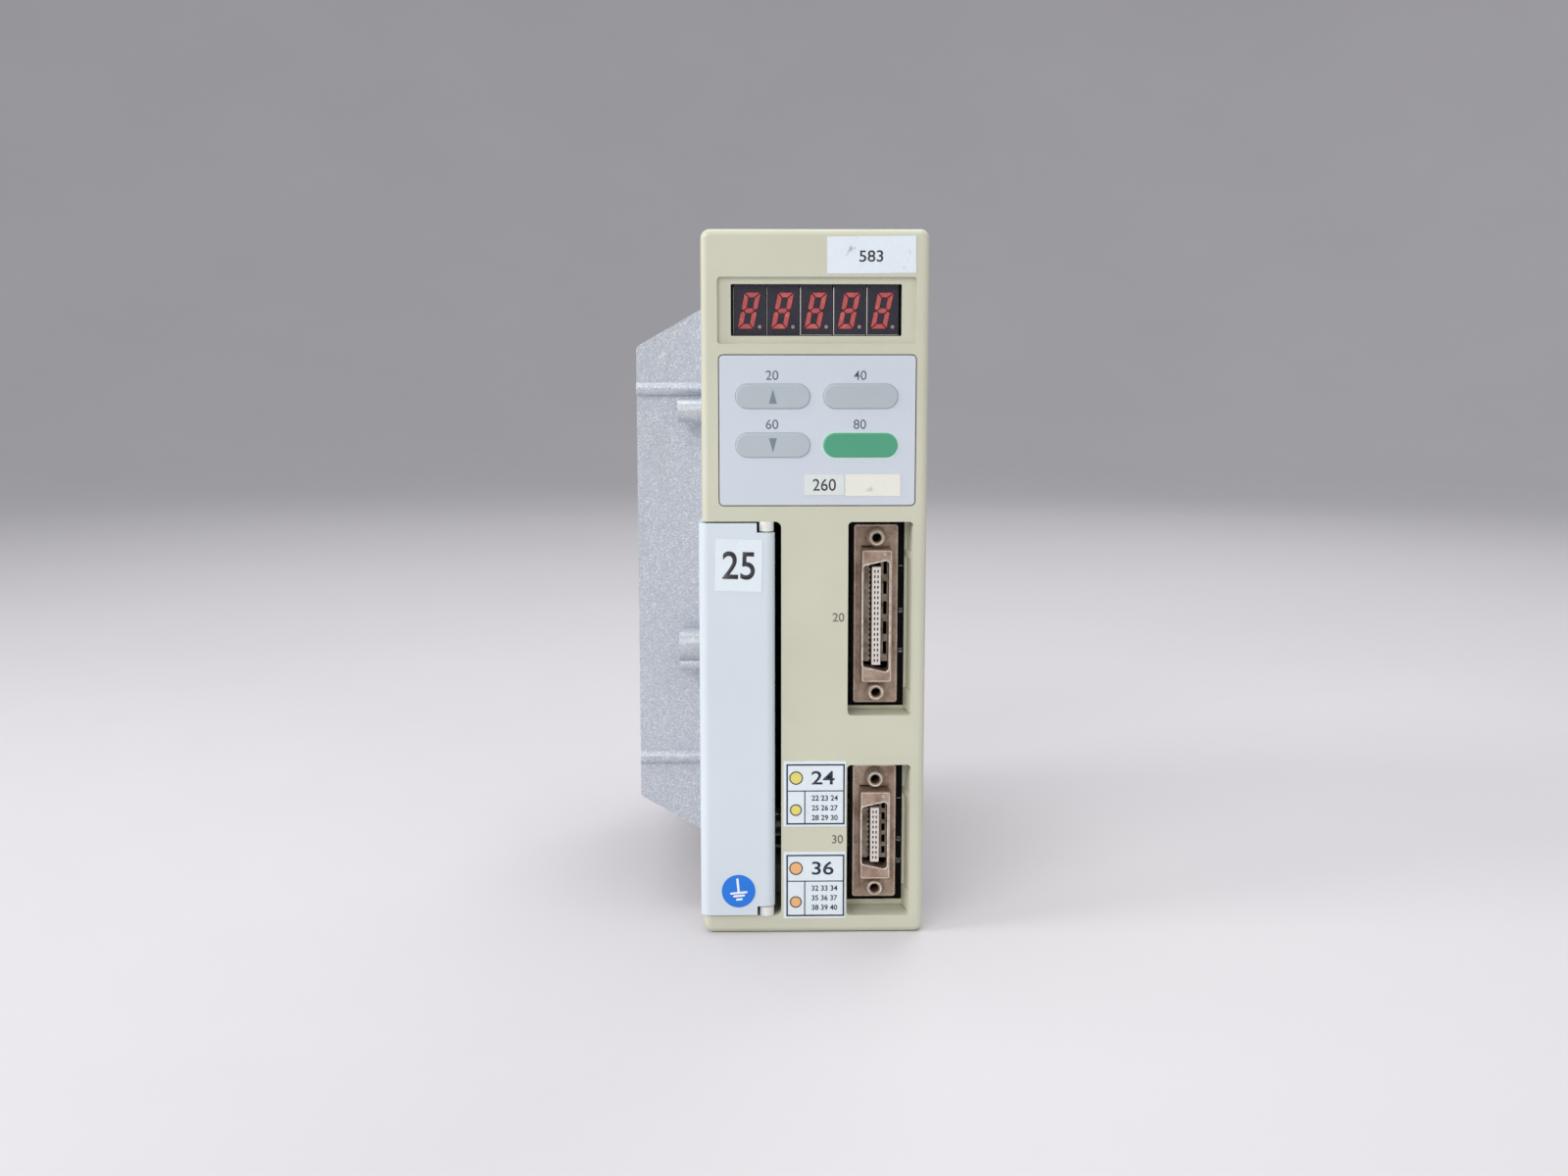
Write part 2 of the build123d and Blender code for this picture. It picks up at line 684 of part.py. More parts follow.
with BuildPart() as hinge_pins:
    for pin_low, pin_high in (lower_pin, upper_pin):
        rod_along_z(hinge_x, hinge_y, pin_low, pin_high, pin_radius)
save(hinge_pins, "hinge_pins")

with BuildPart() as terminal_door:
    # L-shaped section: the front panel runs round the case's left edge; the hinge barrel ends it
    with BuildSketch(Plane.XY.offset(door_low)) as door_section:
        with BuildLine():
            Polyline(
                (hinge_x, door_front),
                (door_left, door_front),
                (door_left, door_side_end),
                (door_left + door_thickness, door_side_end),
                (door_left + door_thickness, door_front + door_thickness),
                (hinge_x, door_front + door_thickness),
                close=True,
            )
        make_face()
        outer_corner = door_section.vertices().sort_by(Axis.X)[:2].sort_by(Axis.Y)[0]
        fillet(outer_corner, door_edge_radius)
        with Locations((hinge_x, hinge_y)):
            Circle(barrel_radius)
    extrude(amount=door_high - door_low)
    # notches for the hinge lugs and bores for the hinge pins
    for notch_low, notch_high in (
        (door_low - 1, lower_lug_high + lug_clearance),
        (upper_lug_low - lug_clearance, door_high + 1),
    ):
        box_between(hinge_x - notch_reach, hinge_x + barrel_radius + 1, door_front - 1,
                    hinge_y + barrel_radius + 1, notch_low, notch_high, Mode.SUBTRACT)
    for bore_low, bore_high in (
        (lower_lug_high, lower_pin[1] + pin_sink),
        (upper_pin[0] - pin_sink, upper_lug_low),
    ):
        rod_along_z(hinge_x, hinge_y, bore_low, bore_high, pin_radius + pin_door_clearance, Mode.SUBTRACT)
save(terminal_door, "terminal_door")

# ---------------------------------------------------------------- boards and their parts
with BuildPart() as control_board:
    box_between(control_board_left, control_board_right, control_board_front, control_board_rear,
                control_board_low, control_board_high)
    for spacer_y, spacer_z in spacer_places:
        rod_along_x(spacer_y, spacer_z, control_board_left - 1, control_board_right + 1,
                    board_hole_radius, Mode.SUBTRACT)
save(control_board, "control_board")

with BuildPart() as power_board:
    box_between(power_board_left, power_board_right, power_board_front, power_board_rear,
                power_board_low, power_board_high)
    for spacer_y, spacer_z in spacer_places:
        rod_along_x(spacer_y, spacer_z, power_board_left - 1, power_board_right + 1,
                    board_hole_radius, Mode.SUBTRACT)
save(power_board, "power_board")

with BuildPart() as board_spacers:
    for spacer_y, spacer_z in spacer_places:
        # short spacer from the chassis to the power board
        rod_along_x(spacer_y, spacer_z, chassis_face, power_board_left, spacer_radius)
        rod_along_x(spacer_y, spacer_z, power_board_left - spacer_stud_length - 1, power_board_left,
                    spacer_hole_radius, Mode.SUBTRACT)
        # long spacer from the power board to the control board
        rod_along_x(spacer_y, spacer_z, power_board_right, control_board_left, spacer_radius)
        rod_along_x(spacer_y, spacer_z, power_board_left - spacer_stud_length, power_board_right,
                    spacer_stud_radius)
        rod_along_x(spacer_y, spacer_z, control_board_left - spacer_stud_length - 1, control_board_left,
                    spacer_hole_radius, Mode.SUBTRACT)
save(board_spacers, "board_spacers")

with BuildPart() as board_screws:
    for spacer_y, spacer_z in spacer_places:
        rod_along_x(spacer_y, spacer_z, control_board_right,
                    control_board_right + board_screw_head_height, board_screw_head_radius)
        rod_along_x(spacer_y, spacer_z, control_board_left - spacer_stud_length, control_board_right,
                    spacer_stud_radius)
save(board_screws, "board_screws")

# power semiconductors, bolted flat to the chassis wall behind the power board
power_parts = {
    # name: (front, rear, bottom, top)
    "power_module": (-14.0, 26.0, 52.0, 104.0),
    "rectifier_bridge": (-14.0, 16.0, 112.0, 136.0),
}
for name, (part_front, part_rear, part_low, part_high) in power_parts.items():
    with BuildPart() as power_part:
        box_between(chassis_face + pad_thickness, chassis_face + pad_thickness + module_height,
                    part_front, part_rear, part_low, part_high)
        fillet(power_part.edges().filter_by(Axis.X), 1.0)
        pin_rows = int((part_high - part_low - 6) // 5)
        for side_y in (part_front + 2, part_rear - 2 - pin_thickness):
            for row in range(pin_rows):
                pin_z = part_low + 4 + row * 5
                box_between(chassis_face + pad_thickness + module_height, power_board_left,
                            side_y, side_y + pin_thickness, pin_z, pin_z + pin_thickness)
    save(power_part, name)

with BuildPart() as thermal_pads:
    for part_front, part_rear, part_low, part_high in power_parts.values():
        box_between(chassis_face, chassis_face + pad_thickness,
                    part_front + 1, part_rear - 1, part_low + 1, part_high - 1)
save(thermal_pads, "thermal_pads")

capacitor_radius = 11.0
capacitor_length = 26.0
capacitor_y = 4.0
for number, capacitor_z in enumerate((97.0, 122.0), start=1):
    with BuildPart() as capacitor:
        rod_along_x(capacitor_y, capacitor_z, power_board_right, power_board_right + capacitor_length,
                    capacitor_radius)
        fillet(capacitor.edges().filter_by(GeomType.CIRCLE), 0.8)
    save(capacitor, f"dc_capacitor_{number}")

with BuildPart() as transformer:
    box_between(power_board_right, power_board_right + 18, 22.0, 40.0, 56.0, 78.0)
    box_between(power_board_right + 4, power_board_right + 14, 18.0, 44.0, 60.0, 74.0)
save(transformer, "transformer")

with BuildPart() as relay:
    box_between(power_board_right, power_board_right + 15, -30.0, -14.0, 36.0, 56.0)
    fillet(relay.edges().filter_by(Axis.X), 0.6)
save(relay, "relay")

with BuildPart() as braking_resistor:
    box_between(power_board_right, power_board_right + 9, 46.0, 55.0, 92.0, 140.0)
    fillet(braking_resistor.edges().filter_by(Axis.Z), 1.0)
save(braking_resistor, "braking_resistor")

# control board's chips, on its left face
for name, chip_y, chip_z, chip_side, chip_height in (
    ("processor_chip", -18.0, 58.0, 20.0, 2.4),
    ("logic_chip", -20.0, 96.0, 14.0, 2.0),
):
    with BuildPart() as chip:
        box_between(control_board_left - chip_height, control_board_left,
                    chip_y, chip_y + chip_side, chip_z, chip_z + chip_side)
        chamfer(chip.edges().filter_by(Axis.X), 0.8)
    save(chip, name)

# ribbon between the two big boards, with a header at each end
ribbon_y = -26.0
ribbon_low = 118.0
ribbon_high = 138.0
header_height = 6.0
header_half = 2.6

with BuildPart() as ribbon_headers:
    for header_x0, header_x1 in (
        (power_board_right, power_board_right + header_height),
        (control_board_left - header_height, control_board_left),
    ):
        box_between(header_x0, header_x1, ribbon_y - header_half, ribbon_y + header_half,
                    ribbon_low - 2, ribbon_high + 2)
save(ribbon_headers, "ribbon_headers")

with BuildPart() as ribbon_cable:
    box_between(power_board_right + header_height, control_board_left - header_height,
                ribbon_y - 0.4, ribbon_y + 0.4, ribbon_low, ribbon_high)
save(ribbon_cable, "ribbon_cable")

# header that joins the display board to the control board's front edge
with BuildPart() as display_header:
    box_between(control_board_left - header_height, control_board_left,
                display_board_rear, control_board_front + 6,
                display_board_low + 22, display_board_low + 42)
save(display_header, "display_header")

# ---------------------------------------------------------------- labels
label_places = {
    # name: (left, right, bottom, top, face it is stuck to, tilt in degrees)
    "name_label": (case_right - 23.75, case_right - 3.2, case_height - 10.1, case_height - 1.7, front, 0.6),
    "keypad_label_left": (case_left + 24.1, case_left + 33.4, panel_low + 2.6, panel_low + 7.5, front, 0),
    "keypad_label_right": (case_left + 33.65, case_left + 46.6, panel_low + 2.4, panel_low + 7.5, front, 0),
    "front_label_upper": (case_left + 19.2, slot_left - 0.25, 26.6, 42.7, front, 0),
    "front_label_lower": (case_left + 19.2, slot_left - 0.25, 3.7, 20.3, front, 0),
    "door_number_label": (case_left + 3.1, case_left + 14.1, case_height - 84.0, case_height - 71.7,
                          door_front, -1.5),
}
for name, (label_left, label_right, label_low, label_high, face_y, tilt) in label_places.items():
    with BuildPart() as label:
        with BuildSketch(facing_front(face_y)):
            with Locations(Location(((label_left + label_right) / 2, (label_low + label_high) / 2), tilt)):
                Rectangle(label_right - label_left, label_high - label_low)
        extrude(amount=label_thickness)
    save(label, name)

with BuildPart() as earth_label:
    rod_along_y(case_left + 8.3, opening_low + 6.45, door_front - label_thickness, door_front, 4.05)
save(earth_label, "earth_label")
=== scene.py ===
"""Looks of the servo drive around the CAD frame: materials, printing, display and connector details."""

import math

import bmesh
import bpy
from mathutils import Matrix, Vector


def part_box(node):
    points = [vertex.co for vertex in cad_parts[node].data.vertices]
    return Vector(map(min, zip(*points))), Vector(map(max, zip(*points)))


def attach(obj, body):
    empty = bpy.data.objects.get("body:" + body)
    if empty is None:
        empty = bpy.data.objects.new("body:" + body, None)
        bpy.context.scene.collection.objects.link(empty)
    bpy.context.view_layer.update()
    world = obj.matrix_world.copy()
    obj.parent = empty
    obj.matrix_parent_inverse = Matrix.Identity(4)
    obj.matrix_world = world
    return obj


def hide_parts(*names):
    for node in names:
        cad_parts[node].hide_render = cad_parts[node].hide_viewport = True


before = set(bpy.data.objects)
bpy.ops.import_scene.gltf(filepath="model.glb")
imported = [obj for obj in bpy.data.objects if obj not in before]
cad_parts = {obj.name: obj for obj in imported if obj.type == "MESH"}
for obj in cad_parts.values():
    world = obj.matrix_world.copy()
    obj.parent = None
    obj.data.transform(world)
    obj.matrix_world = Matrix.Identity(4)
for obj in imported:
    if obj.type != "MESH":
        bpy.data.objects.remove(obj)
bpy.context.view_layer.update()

scene = bpy.context.scene
MM = 0.001
CASE = "case"
MIX_A, MIX_B, MIX_RESULT = 6, 7, 2  # colour sockets of a Mix node


def new_object(name, data):
    """An object of the scene that shows the data."""
    made = bpy.data.objects.new(name, data)
    scene.collection.objects.link(made)
    return made


# ---------------------------------------------------------------- colours and node helpers
def linear(red, green, blue):
    """Scene-linear colour, with alpha, from screen values of 0 to 255."""
    def channel(value):
        value /= 255
        return value / 12.92 if value <= 0.04045 else ((value + 0.055) / 1.055) ** 2.4
    return (channel(red), channel(green), channel(blue), 1.0)


def scaled(colour, factor):
    """The same colour, lighter or darker."""
    return tuple(min(1.0, c * factor) for c in colour[:3]) + (1.0,)


class Finish:
    """A material and the few kinds of node that every finish here is made of."""

    def __init__(self, name):
        self.material = bpy.data.materials.new(name)
        self.material.use_nodes = True
        self.nodes = self.material.node_tree.nodes
        self.links = self.material.node_tree.links
        self.shader = self.nodes["Principled BSDF"]
        self.place = self.nodes.new("ShaderNodeTexCoord").outputs["Object"]

    def link(self, value, socket):
        """Links an output to a socket, or sets a plain number or colour on it."""
        if isinstance(value, bpy.types.NodeSocket):
            self.links.new(value, socket)
        else:
            socket.default_value = value

    def stretched(self, factors):
        """The object's coordinates, each axis times its factor."""
        mapping = self.nodes.new("ShaderNodeMapping")
        mapping.inputs["Scale"].default_value = factors
        self.links.new(self.place, mapping.inputs["Vector"])
        return mapping.outputs["Vector"]

    def noise(self, size, detail=3.0, roughness=0.55, place=None):
        """Noise of 0 to 1 with lumps of about that size in metres."""
        node = self.nodes.new("ShaderNodeTexNoise")
        node.inputs["Scale"].default_value = 1 / size
        node.inputs["Detail"].default_value = detail
        node.inputs["Roughness"].default_value = roughness
        self.links.new(place or self.place, node.inputs["Vector"])
        return node.outputs["Fac"]

    def cells(self, size, output="Distance", place=None):
        """Voronoi cells of about that size in metres."""
        node = self.nodes.new("ShaderNodeTexVoronoi")
        node.inputs["Scale"].default_value = 1 / size
        self.links.new(place or self.place, node.inputs["Vector"])
        return node.outputs[output]

    def spread(self, value, low, high, new_low=0.0, new_high=1.0):
        """Value, taken from low..high to new_low..new_high and kept within that."""
        node = self.nodes.new("ShaderNodeMapRange")
        ends = {"From Min": low, "From Max": high, "To Min": new_low, "To Max": new_high}
        for name, end in ends.items():
            node.inputs[name].default_value = end
        self.links.new(value, node.inputs["Value"])
        return node.outputs["Result"]

    def maths(self, operation, a, b):
        node = self.nodes.new("ShaderNodeMath")
        node.operation = operation
        self.link(a, node.inputs[0])
        self.link(b, node.inputs[1])
        return node.outputs[0]

    def total(self, a, b):
        return self.maths("ADD", a, b)

    def product(self, a, b):
        return self.maths("MULTIPLY", a, b)

    def blend(self, factor, a, b):
        """Colour a where factor is 0 and b where it is 1."""
        node = self.nodes.new("ShaderNodeMix")
        node.data_type = "RGBA"
        self.link(factor, node.inputs["Factor"])
        self.link(a, node.inputs[MIX_A])
        self.link(b, node.inputs[MIX_B])
        return node.outputs[MIX_RESULT]

    def bump(self, height, depth, under=None):
        """A normal from a height of 0 to 1 that stands for depth metres."""
        node = self.nodes.new("ShaderNodeBump")
        node.inputs["Distance"].default_value = depth
        self.links.new(height, node.inputs["Height"])
        if under:
            self.links.new(under, node.inputs["Normal"])
        return node.outputs["Normal"]

    def finish(self, colour, roughness, normal=None, metallic=0.0, coat=0.0, specular=0.5):
        """Sets the shader and gives the finished material."""
        self.link(colour, self.shader.inputs["Base Color"])
        self.link(roughness, self.shader.inputs["Roughness"])
        self.shader.inputs["Metallic"].default_value = metallic
        self.shader.inputs["Coat Weight"].default_value = coat
        self.shader.inputs["Coat Roughness"].default_value = 0.2
        self.shader.inputs["Specular IOR Level"].default_value = specular
        if normal:
            self.links.new(normal, self.shader.inputs["Normal"])
        return self.material


# ---------------------------------------------------------------- materials
def moulded(name, colour, roughness=0.42, grain=0.35, depth=0.010, tone=0.05, specks=0.5, coat=0.0,
            specular=0.5):
    """Injection-moulded plastic: fine texture, slow changes of tone, rubbed patches, specks of dirt.
    Grain is the texture's size and depth its height, in millimetres."""
    f = Finish(name)
    slow = f.noise(28 * MM, 2.0)
    shaded = f.blend(f.spread(slow, 0.3, 0.7), scaled(colour, 1 - tone), scaled(colour, 1 + tone / 2))
    fine = f.noise(grain * MM, 4.0, 0.6)
    shaded = f.blend(f.spread(fine, 0.25, 0.8, 0.0, 0.10), shaded, scaled(colour, 0.72))
    dirt = f.spread(f.cells(4.5 * MM), 0.045, 0.02)
    dirt = f.product(dirt, f.spread(f.noise(11 * MM), 0.56, 0.66))
    shaded = f.blend(f.product(dirt, specks), shaded, scaled(colour, 0.35))
    wear_and_highlight = f.noise(9 * MM, 5.0, 0.65)
    rough = f.spread(wear_and_highlight, 0.3, 0.72, roughness - 0.09, roughness + 0.08)
    normal = f.bump(fine, depth * MM)
    normal = f.bump(f.noise(14 * MM, 1.0), 0.05 * MM, normal)
    return f.finish(shaded, rough, normal, coat=coat, specular=specular)


def cast_aluminium(name, colour):
    """Die-cast and shot-blasted aluminium: grains with painted glints, dull grains, faint streaks and a few
    stains.
    """
    f = Finish(name)
    grains = f.cells(0.25 * MM, "Color")
    channels = f.nodes.new("ShaderNodeSeparateColor")
    f.links.new(grains, channels.inputs["Color"])
    bright = channels.outputs["Red"]
    fine = f.noise(0.7 * MM, 5.0, 0.7)
    shaded = f.blend(f.spread(fine, 0.3, 0.7), scaled(colour, 0.88), scaled(colour, 1.05))
    # Painted glints: the brightest grains are mixed towards near white, for the sparkle of light on the
    # blasted surface.
    shaded = f.blend(f.spread(bright, 0.72, 0.98, 0.0, 0.75), shaded, linear(246, 247, 250))
    shaded = f.blend(f.spread(bright, 0.22, 0.0, 0.0, 0.42), shaded, scaled(colour, 0.55))
    streak = f.noise(5 * MM, 4.0, 0.6, f.stretched((1.0, 1.0, 0.25)))
    shaded = f.blend(f.spread(streak, 0.5, 0.75, 0.0, 0.22), shaded, scaled(colour, 0.74))
    stain = f.spread(f.noise(13 * MM, 3.0), 0.66, 0.76, 0.0, 0.30)
    shaded = f.blend(stain, shaded, linear(95, 96, 104))
    rough = f.spread(channels.outputs["Green"], 0.0, 1.0, 0.30, 0.56)
    normal = f.bump(f.total(fine, bright), 0.035 * MM)
    normal = f.bump(f.noise(6 * MM, 3.0), 0.12 * MM, normal)
    return f.finish(shaded, rough, normal, metallic=0.45)


def plated(name, colour, stain, roughness=0.30, stain_size=3.2, metallic=0.75):
    """Plated sheet metal, dulled and tinted in patches, with fine scratches."""
    f = Finish(name)
    patches = f.noise(stain_size * MM, 4.0, 0.6)
    shaded = f.blend(f.spread(patches, 0.35, 0.68), colour, stain)
    fine = f.noise(0.5 * MM, 3.0)
    shaded = f.blend(f.spread(fine, 0.4, 0.75, 0.0, 0.35), shaded, scaled(stain, 0.65))
    scratch = f.noise(0.5 * MM, 2.0, 0.5, f.stretched((1.0, 1.0, 0.06)))
    rough = f.spread(patches, 0.3, 0.7, roughness - 0.06, roughness + 0.16)
    normal = f.bump(scratch, 0.012 * MM)
    normal = f.bump(fine, 0.014 * MM, normal)
    return f.finish(shaded, rough, normal, metallic=metallic)


def turned_steel(name, colour):
    """Zinc-plated screw steel with a mottled, faintly yellow film."""
    f = Finish(name)
    film = f.noise(1.4 * MM, 4.0, 0.65)
    shaded = f.blend(f.spread(film, 0.35, 0.7), colour, linear(186, 178, 148))
    rough = f.spread(f.noise(0.4 * MM), 0.3, 0.7, 0.22, 0.42)
    return f.finish(shaded, rough, f.bump(film, 0.02 * MM), metallic=1.0)


def laminate(name, colour):
    """Circuit board: green mask over copper tracks, with tinned pads."""
    f = Finish(name)
    bricks = f.nodes.new("ShaderNodeTexBrick")
    bricks.inputs["Scale"].default_value = 90.0
    bricks.inputs["Mortar Size"].default_value = 0.06
    for socket, level in (("Color1", 0), ("Color2", 0), ("Mortar", 1)):
        bricks.inputs[socket].default_value = (level, level, level, 1)
    turned = f.nodes.new("ShaderNodeMapping")
    turned.inputs["Rotation"].default_value = (0, math.pi / 2, 0)
    f.links.new(f.place, turned.inputs["Vector"])
    f.links.new(turned.outputs["Vector"], bricks.inputs["Vector"])
    tracks = bricks.outputs["Color"]
    shaded = f.blend(f.noise(12 * MM), scaled(colour, 0.8), scaled(colour, 1.15))
    shaded = f.blend(f.product(tracks, 0.6), shaded, scaled(colour, 1.9))
    pads = f.spread(f.cells(2.5 * MM), 0.22, 0.17)
    pads = f.product(pads, f.spread(f.noise(9 * MM), 0.5, 0.55))
    shaded = f.blend(pads, shaded, linear(190, 190, 182))
    rough = f.spread(f.noise(3 * MM), 0.3, 0.7, 0.22, 0.38)
    return f.finish(shaded, rough, f.bump(f.total(tracks, pads), 0.04 * MM))


def ribbon(name, colour):
    """Flat cable: a ridge for each of its wires."""
    wire_pitch, scale_per_band = 1.27 * MM, 3.18
    f = Finish(name)
    wave = f.nodes.new("ShaderNodeTexWave")
    wave.bands_direction = "Z"
    wave.inputs["Scale"].default_value = 1 / wire_pitch / scale_per_band
    wave.inputs["Distortion"].default_value = 0.0
    f.links.new(f.place, wave.inputs["Vector"])
    ridges = wave.outputs["Fac"]
    # Painted shade: the grooves between the wires are darker than the ridges.
    shaded = f.blend(ridges, scaled(colour, 0.7), colour)
    rough = f.spread(f.noise(2 * MM), 0.3, 0.7, 0.4, 0.55)
    return f.finish(shaded, rough, f.bump(ridges, 0.3 * MM))


def sticker(name, colour, scuffs=0.30, roughness=0.45):
    """Coated paper: faint fibres, grey scuffs and small creases."""
    f = Finish(name)
    fibres = f.noise(0.6 * MM, 5.0, 0.7)
    shaded = f.blend(f.spread(fibres, 0.3, 0.75), colour, scaled(colour, 0.93))
    clouds = f.noise(5 * MM, 4.0, 0.6)
    shaded = f.blend(f.spread(clouds, 0.4, 0.75, 0.0, 0.22), shaded, scaled(colour, 0.80))
    lines = f.noise(2.4 * MM, 6.0, 0.7, f.stretched((1.0, 1.0, 0.45)))
    marks = f.product(f.spread(lines, 0.60, 0.66), f.spread(clouds, 0.5, 0.62))
    shaded = f.blend(f.product(marks, scuffs), shaded, linear(120, 122, 128))
    rough = f.spread(clouds, 0.3, 0.7, roughness - 0.08, roughness + 0.1)
    normal = f.bump(clouds, 0.05 * MM)
    return f.finish(shaded, rough, f.bump(fibres, 0.006 * MM, normal))


def ink(name, colour, cover=0.16, roughness=0.4):
    """Printing ink that lies unevenly."""
    f = Finish(name)
    uneven = f.noise(0.35 * MM, 4.0, 0.6)
    shaded = f.blend(f.spread(uneven, 0.35, 0.75, 0.0, cover), colour, scaled(colour, 1.9))
    rough = f.spread(uneven, 0.3, 0.7, roughness - 0.05, roughness + 0.1)
    return f.finish(shaded, rough, f.bump(uneven, 0.004 * MM))


def diffuser(name, colour):
    """Unlit lamp segment: a milky red filling with a brighter grain."""
    f = Finish(name)
    grain = f.noise(0.45 * MM, 4.0, 0.6)
    shaded = f.blend(f.spread(grain, 0.3, 0.7), scaled(colour, 0.82), scaled(colour, 1.14))
    glow = f.noise(1.6 * MM, 2.0)
    shaded = f.blend(f.spread(glow, 0.5, 0.72, 0.0, 0.35), shaded, linear(226, 140, 110))
    rough = f.spread(grain, 0.3, 0.7, 0.3, 0.42)
    return f.finish(shaded, rough, f.bump(grain, 0.01 * MM))


slot_finishes = {
    "cover_plastic": moulded("ivory_plastic", linear(206, 206, 186)),
    "housing_plastic": moulded("ivory_housing", linear(200, 200, 180), roughness=0.48, grain=0.5,
                               depth=0.02),
    "door_plastic": moulded("pale_blue_plastic", linear(214, 224, 231), roughness=0.40, grain=0.4,
                            depth=0.006, tone=0.03, specks=0.7),
    "lug_plastic": moulded("off_white_plastic", linear(230, 232, 228), roughness=0.38, grain=0.3,
                           depth=0.006, tone=0.03),
    "keypad_plastic": moulded("keypad_film", linear(206, 214, 223), roughness=0.44, grain=0.25, depth=0.004,
                              tone=0.025, specks=0.4),
    "key_grey": moulded("grey_keys", linear(180, 190, 196), roughness=0.40, grain=0.25, depth=0.004,
                        tone=0.04, specks=0.2, coat=0.1),
    "key_green": moulded("green_key", linear(78, 160, 125), roughness=0.38, grain=0.25, depth=0.004,
                         tone=0.05, specks=0.2, coat=0.1),
    "cast_aluminium": cast_aluminium("cast_aluminium", linear(199, 205, 215)),
    "led_body": moulded("led_body", linear(46, 44, 56), roughness=0.28, grain=0.3, depth=0.003, tone=0.10,
                        specks=0.3, coat=0.3),
    "board_laminate": laminate("board_laminate", linear(22, 84, 52)),
    "black_moulding": moulded("black_moulding", linear(5, 5, 6), roughness=0.5, grain=0.3, depth=0.012,
                              tone=0.15, specks=0.0, specular=0.12),
    "nickel_plate": plated("nickel_plate", linear(200, 178, 161), linear(158, 130, 112), roughness=0.34,
                           metallic=0.6),
    "white_moulding": moulded("connector_insert", linear(228, 221, 214), roughness=0.40, grain=0.2,
                              depth=0.003, tone=0.04, specks=0.0),
    # The contacts are real metal, but their near-black colour is painted shade of the holes they sit in.
    "contact_metal": plated("contact_metal", linear(40, 34, 28), linear(22, 18, 15), roughness=0.35,
                            stain_size=1.0),
    "screw_steel": turned_steel("screw_steel", linear(202, 203, 204)),
    "pad_grey": moulded("thermal_pad", linear(150, 152, 156), roughness=0.75, grain=0.4, depth=0.02,
                        tone=0.06, specks=0.4),
    "capacitor_sleeve": moulded("capacitor_sleeve", linear(24, 28, 48), roughness=0.28, grain=1.2,
                                depth=0.01, tone=0.12, specks=0.2, coat=0.4),
    "ferrite": moulded("ferrite", linear(66, 64, 62), roughness=0.6, grain=0.6, depth=0.03, tone=0.12,
                       specks=0.4),
    "resistor_body": moulded("resistor_body", linear(205, 204, 196), roughness=0.7, grain=0.5, depth=0.03,
                             tone=0.06, specks=0.5),
    "relay_case": moulded("relay_case", linear(34, 48, 84), roughness=0.34, grain=0.4, depth=0.006,
                          tone=0.08, specks=0.3),
    "ribbon_grey": ribbon("ribbon_grey", linear(160, 162, 166)),
    "label_white": sticker("label_white", linear(230, 240, 246)),
    "label_cream": sticker("label_cream", linear(236, 236, 224), scuffs=0.2),
    "label_blue": sticker("label_blue", linear(20, 120, 226), scuffs=0.15),
}
dark_ink = ink("dark_ink", linear(46, 42, 50))
soft_ink = ink("soft_ink", linear(92, 104, 122))
rule_ink = ink("rule_ink", linear(24, 36, 54))
arrow_ink = ink("arrow_ink", linear(120, 132, 142), cover=0.1)
mint_ink = ink("mint_ink", linear(198, 232, 222), cover=0.1)
white_ink = ink("white_ink", linear(238, 244, 248), cover=0.05)
faded_ink = ink("faded_ink", linear(186, 188, 194), cover=0.1)
yellow_ink = ink("yellow_ink", linear(226, 214, 110), cover=0.1)
orange_ink = ink("orange_ink", linear(236, 178, 120), cover=0.1)
legend_ink = ink("legend_ink", linear(112, 110, 97), cover=0.1)
segment_red = diffuser("segment_red", linear(186, 84, 86))
segment_edge = moulded("segment_edge", linear(72, 12, 20), roughness=0.35, grain=0.3, depth=0.003, tone=0.1,
                       specks=0.0)
dot_grey = moulded("dot_grey", linear(150, 146, 148), roughness=0.35, grain=0.3, depth=0.003, tone=0.1,
                   specks=0.0)
seam_resin = moulded("seam_resin", linear(204, 200, 196), roughness=0.35, grain=0.4, depth=0.01, tone=0.15,
                     specks=0.0)
shield_metal = plated("shield_metal", linear(176, 166, 150), linear(126, 112, 96), roughness=0.45,
                      stain_size=2.2, metallic=0.5)
# Black of painted shade, used for the slots in the connector plates.
slot_shade_black = moulded("slot_shade_black", linear(14, 13, 13), roughness=0.6, grain=0.4, depth=0.01, tone=0.1,
                     specks=0.0)
label_grey = sticker("label_grey", linear(222, 229, 226), scuffs=0.2)
name_paper = sticker("name_paper", linear(229, 239, 246), scuffs=0.75)
smudge_ink = ink("smudge_ink", linear(220, 213, 205), cover=0.1)
# Lighter plate: used for the painted highlights on the connector frames' edges and opening lips, and for the
# turned jack rims.
bright_plate = plated("bright_plate", linear(250, 244, 234), linear(190, 174, 156), roughness=0.26,
                      stain_size=1.2, metallic=0.6)
key_rim = moulded("key_rim", linear(196, 204, 212), roughness=0.42, grain=0.25, depth=0.004, tone=0.03,
                  specks=0.0)


